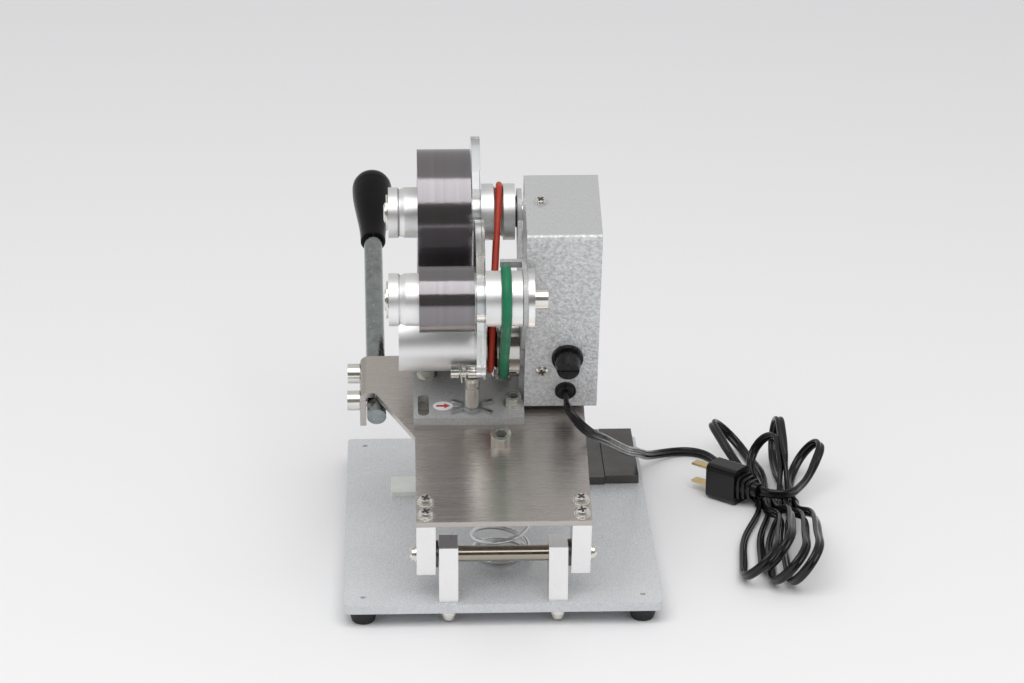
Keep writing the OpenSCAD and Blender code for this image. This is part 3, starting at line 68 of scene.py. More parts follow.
def on_arm(x, y, z):
    """A place on the arm at rest, in metres in the shared frame."""
    across = HINGE[0] + y * math.cos(TILT) - z * math.sin(TILT)
    above = HINGE[1] + y * math.sin(TILT) + z * math.cos(TILT)
    return on_base(x, across, above)


# Camera
CAMERA_AT = (-63.544, -1886.846, 939.984)
CAMERA_SWING, CAMERA_DROP, CAMERA_ROLL = (math.radians(a) for a in (-2.069, 22, 0.187))
SENSOR, LENS = 36, 118.17


def place_camera():
    level, roll = math.cos(CAMERA_DROP), CAMERA_ROLL
    ahead = Vector((-math.sin(CAMERA_SWING) * level, math.cos(CAMERA_SWING) * level, -math.sin(CAMERA_DROP)))
    right = Vector((math.cos(CAMERA_SWING), math.sin(CAMERA_SWING), 0))
    up = right.cross(ahead)
    right, up = right * math.cos(roll) + up * math.sin(roll), up * math.cos(roll) - right * math.sin(roll)
    data = bpy.data.cameras.new("camera")
    data.sensor_width, data.lens = SENSOR, LENS
    data.clip_start, data.clip_end = 0.05, 50
    camera = bpy.data.objects.new("camera", data)
    turn = Matrix((right, up, -ahead)).transposed().to_4x4()
    camera.matrix_world = Matrix.Translation(on_base(*CAMERA_AT)) @ turn
    bpy.context.scene.collection.objects.link(camera)
    bpy.context.scene.camera = camera


place_camera()


# Shader node groups for effects that several finishes share
def start_group(name, inputs, outputs):
    group = bpy.data.node_groups.new(name, "ShaderNodeTree")
    for label, kind, value in inputs:
        socket = group.interface.new_socket(label, in_out="INPUT", socket_type=kind)
        if value is not None:
            socket.default_value = value
    for label, kind in outputs:
        group.interface.new_socket(label, in_out="OUTPUT", socket_type=kind)
    entry = group.nodes.new("NodeGroupInput")
    leave = group.nodes.new("NodeGroupOutput")
    return group, entry, leave


def add(tree, kind, **settings):
    node = tree.nodes.new(kind)
    for name, value in settings.items():
        if name in node.inputs:
            node.inputs[name].default_value = value
        else:
            setattr(node, name, value)
    return node


def math_node(tree, operation, first, second=None, third=None):
    node = add(tree, "ShaderNodeMath", operation=operation)
    for socket, value in zip(node.inputs, (first, second, third)):
        if value is None:
            continue
        if isinstance(value, (int, float)):
            socket.default_value = value
        else:
            tree.links.new(value, socket)
    return node.outputs[0]


def spread(tree, value, low, high, new_low=0.0, new_high=1.0):
    """The value with its range from low to high spread over a new range."""
    node = add(tree, "ShaderNodeMapRange")
    ends = {"From Min": low, "From Max": high, "To Min": new_low, "To Max": new_high}
    for name, end in ends.items():
        node.inputs[name].default_value = end
    tree.links.new(value, node.inputs["Value"])
    return node.outputs["Result"]


def mix_colors(tree):
    """A mix of two colours: its factor, its first and second colour, and the result."""
    node = add(tree, "ShaderNodeMix", data_type="RGBA")
    first, second = [socket for socket in node.inputs if socket.type == "RGBA"]
    result = [socket for socket in node.outputs if socket.type == "RGBA"][0]
    return node.inputs["Factor"], first, second, result


def noise(tree, vector, scale, detail, roughness=0.55):
    node = add(tree, "ShaderNodeTexNoise", Detail=detail, Roughness=roughness)
    if isinstance(scale, (int, float)):
        node.inputs["Scale"].default_value = scale
    else:
        tree.links.new(scale, node.inputs["Scale"])
    tree.links.new(vector, node.inputs["Vector"])
    return node.outputs["Fac"]


def make_hammered_skin():
    group, entry, leave = start_group(
        "hammered_skin",
        [("Coordinates", "NodeSocketVector", None), ("Scale", "NodeSocketFloat", 900.0)],
        [("Speckle", "NodeSocketFloat"), ("Height", "NodeSocketFloat")],
    )
    cells = add(group, "ShaderNodeTexVoronoi", feature="SMOOTH_F1")
    cells.inputs["Smoothness"].default_value = 0.6
    group.links.new(entry.outputs["Coordinates"], cells.inputs["Vector"])
    group.links.new(entry.outputs["Scale"], cells.inputs["Scale"])
    wider = math_node(group, "MULTIPLY", entry.outputs["Scale"], 0.7)
    ripple = noise(group, entry.outputs["Coordinates"], wider, 2.0)
    pits = math_node(group, "MULTIPLY_ADD", cells.outputs["Distance"], 0.9, ripple)
    group.links.new(spread(group, pits, 0.55, 1.25), leave.inputs["Height"])
    group.links.new(spread(group, ripple, 0.32, 0.68), leave.inputs["Speckle"])
    return group


def make_brushed_grain():
    group, entry, leave = start_group(
        "brushed_grain",
        [
            ("Coordinates", "NodeSocketVector", None),
            ("Stretch", "NodeSocketVector", (12.0, 1500.0, 1500.0)),
        ],
        [("Streaks", "NodeSocketFloat"), ("Bands", "NodeSocketFloat")],
    )
    pull = add(group, "ShaderNodeVectorMath", operation="MULTIPLY")
    group.links.new(entry.outputs["Coordinates"], pull.inputs[0])
    group.links.new(entry.outputs["Stretch"], pull.inputs[1])
    fine = noise(group, pull.outputs[0], 1.0, 4.0, 0.7)
    slow = add(group, "ShaderNodeVectorMath", operation="SCALE")
    slow.inputs["Scale"].default_value = 0.09
    group.links.new(pull.outputs[0], slow.inputs[0])
    broad = noise(group, slow.outputs[0], 1.0, 2.0)
    group.links.new(spread(group, fine, 0.3, 0.7), leave.inputs["Streaks"])
    group.links.new(spread(group, broad, 0.3, 0.7), leave.inputs["Bands"])
    return group


def make_turned_rings():
    group, entry, leave = start_group(
        "turned_rings",
        [
            ("Coordinates", "NodeSocketVector", None),
            ("Axis", "NodeSocketVector", (0.0, 0.0, 0.0)),
            ("Pitch", "NodeSocketFloat", 2200.0),
        ],
        [("Rings", "NodeSocketFloat"), ("Bands", "NodeSocketFloat")],
    )
    away = add(group, "ShaderNodeVectorMath", operation="SUBTRACT")
    group.links.new(entry.outputs["Coordinates"], away.inputs[0])
    group.links.new(entry.outputs["Axis"], away.inputs[1])
    parts = add(group, "ShaderNodeSeparateXYZ")
    group.links.new(away.outputs[0], parts.inputs[0])
    across, above = (math_node(group, "POWER", parts.outputs[way], 2.0) for way in "YZ")
    radius = math_node(group, "SQRT", math_node(group, "ADD", across, above))
    place = math_node(group, "ADD", radius, parts.outputs["X"])
    line = add(group, "ShaderNodeTexNoise", noise_dimensions="1D", Scale=1.0, Detail=3.0, Roughness=0.6)
    group.links.new(math_node(group, "MULTIPLY", place, entry.outputs["Pitch"]), line.inputs["W"])
    broad = add(group, "ShaderNodeTexNoise", noise_dimensions="1D", Scale=1.0, Detail=1.0)
    group.links.new(math_node(group, "MULTIPLY", place, 240.0), broad.inputs["W"])
    group.links.new(spread(group, line.outputs["Fac"], 0.3, 0.7), leave.inputs["Rings"])
    group.links.new(spread(group, broad.outputs["Fac"], 0.3, 0.7), leave.inputs["Bands"])
    return group


def make_handling_marks():
    group, entry, leave = start_group(
        "handling_marks",
        [
            ("Coordinates", "NodeSocketVector", None),
            ("Size", "NodeSocketFloat", 45.0),
            ("Specks", "NodeSocketFloat", 700.0),
        ],
        [("Smudge", "NodeSocketFloat"), ("Dust", "NodeSocketFloat")],
    )
    patch = noise(group, entry.outputs["Coordinates"], entry.outputs["Size"], 4.0, 0.6)
    speck = noise(group, entry.outputs["Coordinates"], entry.outputs["Specks"], 2.0, 0.5)
    group.links.new(spread(group, patch, 0.35, 0.7), leave.inputs["Smudge"])
    group.links.new(spread(group, speck, 0.66, 0.76), leave.inputs["Dust"])
    return group


HAMMERED = make_hammered_skin()
GRAIN = make_brushed_grain()
RINGS = make_turned_rings()
MARKS = make_handling_marks()


def toned(color, share, lift=0.0):
    """The colour times a share, plus a lift."""
    return tuple(min(1.0, c * share + lift) for c in color)


class Finish:
    """A material under way: its tree, its shader and the places on the surface."""

    def __init__(self, name, color, roughness, metallic=0.0, edge=0.0004):
        self.material = bpy.data.materials.new(name)
        self.material.use_nodes = True
        self.tree = self.material.node_tree
        self.shader = self.tree.nodes["Principled BSDF"]
        self.shader.inputs["Base Color"].default_value = (*color, 1.0)
        self.shader.inputs["Roughness"].default_value = roughness
        self.shader.inputs["Metallic"].default_value = metallic
        self.color = color
        self.places = add(self.tree, "ShaderNodeTexCoord").outputs["Object"]
        self.tone = None
        self.normal = None
        if edge:
            soft = add(self.tree, "ShaderNodeBevel", samples=4)
            soft.inputs["Radius"].default_value = edge
            self.normal = soft.outputs["Normal"]
            self.tree.links.new(self.normal, self.shader.inputs["Normal"])

    def effect(self, group, **values):
        """One of the shared effects on this surface, with its own values."""
        node = add(self.tree, "ShaderNodeGroup")
        node.node_tree = group
        for name, value in values.items():
            node.inputs[name].default_value = value
        self.tree.links.new(self.places, node.inputs["Coordinates"])
        return node.outputs

    def tint(self, mask, color, amount):
        """Mixes a colour into the base colour where the mask is high."""
        factor, first, second, result = mix_colors(self.tree)
        self.tree.links.new(math_node(self.tree, "MULTIPLY", mask, amount), factor)
        if self.tone is None:
            first.default_value = (*self.color, 1.0)
        else:
            self.tree.links.new(self.tone, first)
        second.default_value = (*color, 1.0)
        self.tone = result
        self.tree.links.new(self.tone, self.shader.inputs["Base Color"])

    def rough(self, mask, low, high):
        """Lets the roughness follow the mask, from low to high."""
        self.tree.links.new(spread(self.tree, mask, 0.0, 1.0, low, high), self.shader.inputs["Roughness"])

    def bump(self, height, depth):
        """Raises the surface by the height, up to the depth in metres."""
        node = add(self.tree, "ShaderNodeBump")
        node.inputs["Strength"].default_value = 1.0
        node.inputs["Distance"].default_value = depth
        self.tree.links.new(height, node.inputs["Height"])
        if self.normal is not None:
            self.tree.links.new(self.normal, node.inputs["Normal"])
        self.normal = node.outputs["Normal"]
        self.tree.links.new(self.normal, self.shader.inputs["Normal"])

    def set(self, **values):
        for name, value in values.items():
            self.shader.inputs[name.replace("_", " ")].default_value = value


def hammertone(name, light, dark, depth, scale, roughness, painted_top_shade=0.0, side=0.0):
    """Paint with a hammered skin. Painted shade darkens the faces that look up, and those that look aside,
    each by its own share.
    """
    paint = Finish(name, light, roughness, 0.25)
    skin = paint.effect(HAMMERED, Scale=scale)
    marks = paint.effect(MARKS, Size=30.0, Specks=500.0)
    paint.tint(skin["Speckle"], dark, 1.0)
    paint.tint(marks["Smudge"], toned(dark, 0.86), 0.25)
    # Painted shade: faces that look up, and faces that look aside, are darkened towards a darker tone of the
    # paint, each by its own share.
    painted_shade_facing = add(paint.tree, "ShaderNodeSeparateXYZ")
    paint.tree.links.new(add(paint.tree, "ShaderNodeTexCoord").outputs["Normal"], painted_shade_facing.inputs[0])
    for low, high, share in ((0.7, 0.9, painted_top_shade), (0.6, 0.2, side)):
        paint.tint(spread(paint.tree, painted_shade_facing.outputs["Z"], low, high), toned(light, 0.62), share)
    paint.rough(skin["Speckle"], roughness - 0.07, roughness + 0.1)
    paint.bump(skin["Height"], depth)
    paint.set(Coat_Weight=0.25, Coat_Roughness=0.2)
    return paint.material


def brushed_sheet(name, color, roughness, stretch, streak, pulled=None):
    """Sheet with fine lines along one way. Its reflections are drawn out along pulled."""
    sheet = Finish(name, color, roughness, 1.0)
    grain = sheet.effect(GRAIN, Stretch=stretch)
    marks = sheet.effect(MARKS, Size=22.0, Specks=420.0)
    sheet.tint(grain["Streaks"], toned(color, 0.78), streak * 2)
    sheet.tint(grain["Bands"], toned(color, 1.12), streak)
    sheet.tint(marks["Smudge"], toned(color, 0.85), 0.25)
    sheet.rough(grain["Streaks"], roughness - 0.03, roughness + 0.05)
    sheet.bump(grain["Streaks"], 0.000002)
    if pulled:
        way = add(sheet.tree, "ShaderNodeCombineXYZ", X=pulled[0], Y=pulled[1], Z=pulled[2])
        sheet.tree.links.new(way.outputs[0], sheet.shader.inputs["Tangent"])
        sheet.set(Anisotropic=0.75)
    return sheet.material


def turned_metal(name, color, roughness, axis):
    """Metal from the lathe, with fine rings round its axis."""
    part = Finish(name, color, roughness, 1.0, 0.0003)
    rings = part.effect(RINGS, Axis=tuple(axis), Pitch=2200.0)
    marks = part.effect(MARKS, Size=60.0, Specks=600.0)
    part.tint(rings["Rings"], toned(color, 0.84), 0.2)
    part.tint(marks["Smudge"], toned(color, 0.9), 0.25)
    part.rough(rings["Rings"], roughness - 0.02, roughness + 0.03)
    part.bump(rings["Rings"], 0.0000008)
    return part.material


def plain_metal(name, color, roughness, mark=0.3, size=120.0, metallic=1.0):
    part = Finish(name, color, roughness, metallic)
    marks = part.effect(MARKS, Size=size, Specks=1300.0)
    part.tint(marks["Smudge"], toned(color, 0.75), mark)
    part.tint(marks["Dust"], toned(color, 0.55), 0.35)
    part.rough(marks["Smudge"], roughness - 0.04, roughness + 0.1)
    part.bump(marks["Smudge"], 0.00002)
    return part.material


def plated_rod(name, color, roughness):
    """Drawn rod with a mottled plating: dull patches, pale scuffs and specks."""
    part = Finish(name, color, roughness, 1.0, 0.0003)
    marks = part.effect(MARKS, Size=110.0, Specks=420.0)
    scuffs = part.effect(MARKS, Size=240.0, Specks=900.0)
    part.tint(marks["Smudge"], toned(color, 0.55), 0.7)
    part.tint(scuffs["Smudge"], toned(color, 1.5), 0.4)
    part.tint(marks["Dust"], toned(color, 2.2), 0.6)
    part.rough(scuffs["Smudge"], roughness - 0.05, roughness + 0.16)
    part.bump(scuffs["Smudge"], 0.00006)
    return part.material


PALE_DUST = (0.35, 0.34, 0.33)


def moulded(name, color, roughness, size, coat=0.0, dust=PALE_DUST, shine=0.5):
    """Moulded plastic, or paper, with smudges and a little dust."""
    part = Finish(name, color, roughness)
    marks = part.effect(MARKS, Size=size, Specks=1500.0)
    part.tint(marks["Smudge"], toned(color, 1.35, 0.004), 0.45)
    part.tint(marks["Dust"], dust, 0.12)
    part.rough(marks["Smudge"], roughness - 0.05, roughness + 0.12)
    part.bump(marks["Smudge"], 0.00002)
    part.set(Coat_Weight=coat, Coat_Roughness=0.12, Specular_IOR_Level=shine)
    return part.material


def rubber(name, color, roughness, dark):
    part = Finish(name, color, roughness, 0.0, 0.0)
    marks = part.effect(MARKS, Size=90.0, Specks=900.0)
    part.tint(marks["Smudge"], dark, 0.6)
    part.tint(marks["Dust"], toned(color, 1.6, 0.02), 0.25)
    part.rough(marks["Smudge"], roughness - 0.08, roughness + 0.08)
    part.bump(marks["Smudge"], 0.00003)
    part.set(Specular_IOR_Level=0.3)
    return part.material


def clear_sheet(name):
    """Clear plastic that lets light through to what it shades."""
    part = Finish(name, (0.93, 0.95, 0.945), 0.03, 0.0, 0.0)
    part.set(Transmission_Weight=1.0, IOR=1.49)
    marks = part.effect(MARKS, Size=70.0, Specks=800.0)
    part.rough(marks["Smudge"], 0.02, 0.07)
    tree = part.tree
    out = tree.nodes["Material Output"]
    passing = add(tree, "ShaderNodeBsdfTransparent")
    passing.inputs["Color"].default_value = (0.9, 0.92, 0.915, 1.0)
    path = add(tree, "ShaderNodeLightPath")
    mix = add(tree, "ShaderNodeMixShader")
    tree.links.new(path.outputs["Is Shadow Ray"], mix.inputs[0])
    tree.links.new(part.shader.outputs[0], mix.inputs[1])
    tree.links.new(passing.outputs[0], mix.inputs[2])
    tree.links.new(mix.outputs[0], out.inputs["Surface"])
    return part.material


def wound_foil(name, axis):
    """Dark metallic foil, wound in many layers round its axis."""
    part = Finish(name, (0.25, 0.236, 0.252), 0.14, 0.9, 0.0003)
    rings = part.effect(RINGS, Axis=tuple(axis), Pitch=3000.0)
    marks = part.effect(MARKS, Size=35.0, Specks=500.0)
    part.tint(rings["Bands"], (0.19, 0.176, 0.172), 0.5)
    part.tint(rings["Rings"], (0.32, 0.31, 0.33), 0.2)
    part.tint(marks["Smudge"], (0.22, 0.208, 0.215), 0.4)
    part.rough(rings["Rings"], 0.1, 0.17)
    part.bump(rings["Rings"], 0.000002)
    part.bump(noise(part.tree, part.places, 620.0, 2.0), 0.00003)
    return part.material


FINISHES = {
    # The base's faces that look aside, and the box's faces that look up, carry painted shade.
    "base_paint": hammertone(
        "base_hammertone", light=(0.74, 0.757, 0.775), dark=(0.61, 0.627, 0.645),
        depth=0.00016, scale=900.0, roughness=0.3, side=0.4,
    ),
    "box_paint": hammertone(
        "box_hammertone", light=(0.75, 0.755, 0.76), dark=(0.47, 0.477, 0.485),
        depth=0.00028, scale=640.0, roughness=0.34, painted_top_shade=1.0,
    ),
    "bracket": hammertone(
        "bracket_paint", light=(0.52, 0.525, 0.52), dark=(0.40, 0.405, 0.402),
        depth=0.00010, scale=1100.0, roughness=0.36,
    ),
    "sheet": brushed_sheet(
        "brushed_stainless", (0.56, 0.52, 0.49), 0.27,
        stretch=(7.0, 2400.0, 2400.0), streak=0.22, pulled=(0.0, 0.951, 0.309),
    ),
    "milled": brushed_sheet(
        "milled_aluminium", (0.93, 0.93, 0.93), 0.3, stretch=(900.0, 30.0, 900.0), streak=0.08,
    ),
    "back_turned": turned_metal("turned_aluminium_back", (0.92, 0.92, 0.923), 0.42, on_arm(0, *BACK_REEL)),
    "front_turned": turned_metal("turned_aluminium_front", (0.92, 0.92, 0.923), 0.42, on_arm(0, *FRONT_REEL)),
    "drum_turned": turned_metal("turned_aluminium_drum", (0.92, 0.92, 0.92), 0.45, on_arm(0, *DRUM)),
    "drum_polished": turned_metal("polished_aluminium_drum", (0.56, 0.545, 0.52), 0.13, on_arm(0, *DRUM)),
    "nickel": plain_metal("nickel_plate", (0.82, 0.80, 0.75), 0.17, metallic=0.86),
    "zinc": plain_metal("zinc_plate", (0.58, 0.60, 0.60), 0.32, mark=0.45, size=90.0),
    "ground": plain_metal("ground_steel", (0.42, 0.38, 0.32), 0.17, mark=0.4, size=80.0),
    "dark": plain_metal("dark_steel", (0.13, 0.123, 0.116), 0.34, size=60.0),
    "chrome": plain_metal("bright_spring_wire", (0.84, 0.845, 0.86), 0.08, mark=0.2, size=90.0),
    "rod": plated_rod("handle_steel", (0.31, 0.34, 0.335), 0.17),
    "pad": moulded("silicone_pad", (0.72, 0.75, 0.70), 0.45, size=60.0),
    "foot": rubber("foot_rubber", (0.018, 0.018, 0.018), 0.55, dark=(0.03, 0.03, 0.03)),
    "grip": moulded(
        "phenolic_grip", (0.004, 0.004, 0.004), 0.22, size=40.0, dust=(0.02, 0.02, 0.02), shine=0.14,
    ),
    "acrylic": clear_sheet("clear_acrylic"),
    "back_foil": wound_foil("foil_roll_back", on_arm(0, *BACK_REEL)),
    "front_foil": wound_foil("foil_roll_front", on_arm(0, *FRONT_REEL)),
    "red": rubber("red_belt_rubber", (0.46, 0.045, 0.022), 0.4, dark=(0.30, 0.025, 0.014)),
    "green": rubber("green_belt_rubber", (0.014, 0.185, 0.088), 0.4, dark=(0.009, 0.13, 0.06)),
    "brass": plain_metal("brass", (0.80, 0.62, 0.32), 0.22, mark=0.35, size=150.0),
    "laminate": moulded("insulating_laminate", (0.30, 0.17, 0.08), 0.6, size=120.0),
    "cord": moulded(
        "cord_sheath", (0.005, 0.005, 0.006), 0.17, size=70.0, dust=(0.06, 0.06, 0.06), shine=0.4,
    ),
    "black": moulded(
        "black_plastic", (0.009, 0.009, 0.0095), 0.25, size=150.0, dust=(0.1, 0.1, 0.1), shine=0.4,
    ),
    "rocker": moulded("red_plastic", (0.45, 0.018, 0.014), 0.25, size=150.0, coat=0.3),
    "label": moulded("label_paper", (0.80, 0.80, 0.79), 0.5, size=200.0, coat=0.1),
    "print": moulded("label_print", (0.52, 0.05, 0.04), 0.5, size=200.0, coat=0.1),
    # Painted shade for the screws' recesses.
    "shade": moulded("recess_shade", (0.03, 0.028, 0.026), 0.6, size=300.0),
}

NODE_FINISH = {
    "base_paint": ["base_plate"],
    "box_paint": ["box_cover", "box_side"],
    "bracket": ["reel_bracket"],
    "sheet": ["arm_plate", "feed_lever"],
    "milled": ["hinge_posts", "hinge_blocks", "axle_washer", "heater_block"],
    "back_turned": ["back_roller", "back_pulley"],
    "front_turned": ["front_roller", "front_pulley"],
    "drum_turned": ["feed_drum", "drum_sleeve"],
    "drum_polished": ["drive_pulley"],
    "nickel": [
        "base_screws", "pan_screws", "socket_screws", "spring_bolt", "handle_bolts", "axles", "axle_screws",
        "foil_guides", "heater_cartridges", "push_rod", "feed_bolt",
    ],
    "zinc": ["spring_seat", "feed_nut", "feed_spring"],
    "chrome": ["return_spring"],
    "rod": ["handle_rod"],
    "ground": ["hinge_rod"],
    "dark": ["thrust_washers", "table_plates"],
    "pad": ["print_pad"],
    "foot": ["rubber_feet"],
    "grip": ["handle_grip"],
    "acrylic": ["back_disc", "front_disc"],
    "back_foil": ["back_foil"],
    "front_foil": ["front_foil", "foil_web"],
    "red": ["red_belt"],
    "green": ["green_belt"],
    "brass": ["plug_blades", "type_holder", "type_pieces"],
    "laminate": ["insulator"],
    "cord": ["cord_lead", "cord_hank", "cord_tie", "plug_body"],
    "black": ["fuse_holder", "cord_grommet", "switch_frame", "fuse_cap", "heat_knob"],
    "rocker": ["switch_rocker"],
}
for finish, names in NODE_FINISH.items():
    for name in names:
        nodes[name].material_slots[0].link = "OBJECT"
        nodes[name].material_slots[0].material = FINISHES[finish]


# Pieces swept along a line
def smooth_line(points, steps):
    """Points on a curve through the given points."""
    count, line = len(points), []
    for i in range(count - 1):
        b, c = points[i], points[i + 1]
        a = points[i - 1] if i else b * 2 - c
        d = points[i + 2] if i + 2 < count else c * 2 - b
        slope, bend, twist = c - a, a * 2 - b * 5 + c * 4 - d, b * 3 - a - c * 3 + d
        for k in range(steps):
            t = k / steps
            line.append((b * 2 + slope * t + bend * t * t + twist * t ** 3) / 2)
    line.append(points[-1].copy())
    return line


def even_line(points, ups, pitch):
    """The same line with points an even pitch apart, each with its own direction across the line."""
    out, sides, walked = [points[0].copy()], [ups[0].copy()], 0.0
    for a, b, first, second in zip(points, points[1:], ups, ups[1:]):
        length = (b - a).length
        at = pitch - walked
        while at <= length:
            out.append(a.lerp(b, at / length))
            sides.append(first.lerp(second, at / length))
            at += pitch
        walked = length - (at - pitch)
    out[-1], sides[-1] = points[-1].copy(), ups[-1].copy()
    return out, sides


def between(points, i):
    """The point, drawn half way to the middle of its neighbours."""
    return points[i] * 0.5 + (points[i - 1] + points[i + 1]) * 0.25


def relaxed(points, passes, start=3, end=3):
    """The line with its kinks eased, its ends held."""
    for _ in range(passes):
        moved = [p.copy() for p in points]
        for i in range(start, len(points) - end):
            moved[i] = between(points, i)
        points = moved
    return points


def bend_radius(a, b, c):
    """The radius of the bend through three points."""
    area = (b - a).cross(c - a).length
    return (b - a).length * (c - b).length * (c - a).length / (2 * area) if area > 0 else math.inf


REACH, BESIDE = 3, 2


def eased(points, least, passes, start, end):
    """The line smoothed only where it bends tighter than the given radius."""
    count = len(points)
    for _ in range(passes):
        tight = set()
        for i in range(max(start, REACH), count - max(end, REACH)):
            if bend_radius(points[i - REACH], points[i], points[i + REACH]) < least:
                tight.update(range(max(start, i - BESIDE), min(count - end, i + BESIDE + 1)))
        if not tight:
            break
        moved = {i: between(points, i) for i in tight}
        for i, place in moved.items():
            points[i] = place
    return points


def piece_from(name, verts, faces, finish):
    """A new piece with the given corners and faces, in metres."""
    mesh = bpy.data.meshes.new(name)
    mesh.from_pydata([tuple(v) for v in verts], [], faces)
    mesh.update()
    mesh.materials.append(FINISHES[finish])
    piece = bpy.data.objects.new(name, mesh)
    bpy.context.scene.collection.objects.link(piece)
    return piece


def swept(name, line, section, up, finish, closed=False):
    """A tube with the given section along a line. The section is drawn across the line and along up."""
    count, sides = len(line), len(section)
    ups = up if isinstance(up, list) else [up] * count
    verts, faces = [], []
    for i, p in enumerate(line):
        before = line[(i - 1) % count] if closed or i else p
        after = line[(i + 1) % count] if closed or i + 1 < count else p
        way = (after - before).normalized()
        across = way.cross(ups[i]).normalized()
        high = across.cross(way)
        verts += [p + across * u + high * v for u, v in section]
    for i in range(count if closed else count - 1):
        here, there = i * sides, (i + 1) % count * sides
        for k in range(sides):
            n = (k + 1) % sides
            faces.append((here + k, here + n, there + n, there + k))
    if not closed:
        faces.append(tuple(range(sides - 1, -1, -1)))
        faces.append(tuple((count - 1) * sides + k for k in range(sides)))
    piece = piece_from(name, verts, faces, finish)
    piece.data.polygons.foreach_set("use_smooth", [len(f) == 4 for f in faces])
    piece.data.update()
    return piece


def oval(a, b, sides=40):
    turns = [2 * math.pi * k / sides for k in range(sides)]
    return [(a * math.cos(t), b * math.sin(t)) for t in turns]


def round_section(d, sides=14):
    return oval(d / 2, d / 2, sides)


CORE_ARC, CORE_STEPS, GROOVE = 256, 8, 0.6


def twin_section(width, thick):
    """Two round cores side by side with a groove between them."""
    r, middle, out = thick / 2, (width - thick) / 2, []
    for side, start in ((1, -38), (-1, 142)):
        for k in range(CORE_STEPS + 1):
            a = math.radians(start + CORE_ARC * k / CORE_STEPS)
            out.append((r * math.cos(a), side * middle + r * math.sin(a)))
        out.append((-side * r * GROOVE, 0.0))
    return out


# The mains cord: from the control box to the table, then a tied hank with loops to both sides of its tie
CORD_WIDTH, CORD_THICK = 6.6, 3.3
CORD_EXIT = Vector((41.8, 81.04, 108.25))
TIE_AT, TIE_HALF, STRAND, LAST_STRAND = Vector((193, 172)), 8.0, 3.45, 8
LAST_COLUMN = 205.9
LAYER_LOW, PLUG_LEVEL = -STAND_HEIGHT + 3.35, -3.0
# Places along the lead
LEAD = [
    (43.6, 60.5, 102), (47.8, 56, 98), (53.5, 57.5, 92.5), (60, 66, 85.5), (66.5, 81, 76.5),
    (74, 105, 62.5), (87, 150, 37.5), (96.5, 195, 16.5), (106.5, 232, -2.5), (116, 250, -9.5),
    (126.5, 259.5, -12.3), (136.5, 262, -12.6), (146, 259, -12.6),
]
# Each loop: its first strand at the tie, its tip, its bend's radius and its roll in degrees
LOOPS = [
    (0, (166, 44), 17.0, -46), (1, (161, 271), 17.0, 44), (2, (178, 54), 17.0, -56),
    (3, (185, 240), 17.0, -56), (4, (184, 36), 17.5, -50), (5, (197, 258), 17.0, -84),
    (6, (194, 34), 17.5, -56), (7, (220, 228), 17.6, -52),
]
BELLY, FULL_BELLY_REACH = 7.5, 90
LEAN_FROM, LEAN_OVER = 0.3, 0.4
# The lead joins the hank along this loop's side
JOIN_LOOP, JOIN_AT, JOIN_STEPS, JOIN_EASE = (1, (160, 281), 14.5, -52), 65.0, 12, 7
EXIT_STUB, LEAD_STEPS = (0, 4, 8, 12), 10
# The last bend turns the raised end to the plug
LIFT_STEPS, PLUG_STEPS, PLUG_BEND, PLUG_HEADING = 24, 24, 14, math.radians(140 - 360)
# Points held at the start, at the last bend and at the plug, and how often the line is smoothed
PITCH, STRAIGHT, TURN_HOLD, PLUG_HOLD = 2.0, 6, 14, 4
LINE_PASSES, LEAN_PASSES = 34, 14
LEAST_BEND, FIRST_EASING, LAST_EASING, SLACK = 14.0, 80, 60, 0.4


def column(j):
    """Where a strand passes under the tie."""
    return LAST_COLUMN - (LAST_STRAND - j) * STRAND


class Loop:
    """One loop of the hank: its root at the tie, its directions out and to the left, and its bend."""

    def __init__(self, first, tip, radius, roll):
        tip = Vector(tip)
        side = 1 if tip.y > TIE_AT.y else -1
        self.root = Vector(((column(first) + column(first + 1)) / 2, TIE_AT.y + side * TIE_HALF))
        self.way = (tip - self.root).normalized()
        self.left = Vector((-self.way.y, self.way.x)) * side
        self.reach = (tip - self.root).length - radius
        self.radius, self.roll = radius, math.radians(roll)
        half = STRAND / 2
        self.spread = math.asin(radius / math.hypot(self.reach, half)) - math.atan2(half, self.reach)
        self.first = Vector((self.reach - radius * math.sin(self.spread), radius * math.cos(self.spread)))

    def outline(self, bend=36, run=14):
        """Points round the flat loop, as distances out and to the left."""
        half, belly = Vector((0, STRAND / 2)), BELLY * min(1.0, self.reach / FULL_BELLY_REACH)
        bulge = [belly * math.sin(math.pi * k / run) ** 2 for k in range(run)]
        runs = [half + (self.first - half) * k / run + Vector((0, bulge[k])) for k in range(run)]
        out = list(runs)
        for i in range(bend + 1):
            a = math.pi / 2 + self.spread - (math.pi + 2 * self.spread) * i / bend
            out.append(Vector((self.reach + self.radius * math.cos(a), self.radius * math.sin(a))))
        return out + [Vector((p.x, -p.y)) for p in reversed(runs)]

    def point(self, at, extra=0.0):
        """Where a point of the flat loop lies once the loop is rolled."""
        half = STRAND / 2
        held = max(-half, min(half, at.y)) * max(0.0, 1 - 2 * at.x / self.reach)
        aside = at.y * math.cos(self.roll) + held * (1 - math.cos(self.roll)) + extra
        flat = self.root + self.way * at.x + self.left * aside
        lean = math.sin(self.roll)
        rise = (at.y - held) * lean + self.radius * abs(lean) * at.x / self.reach
        return Vector((flat.x, flat.y, LAYER_LOW + max(0.0, rise)))

    def up(self, at):
        """The direction along the wide side of the cord at that point."""
        lean = self.roll * max(0.0, min(1.0, (at.x / self.reach - LEAN_FROM) / LEAN_OVER))
        return Vector((-self.left.x * math.sin(lean), -self.left.y * math.sin(lean), math.cos(lean)))


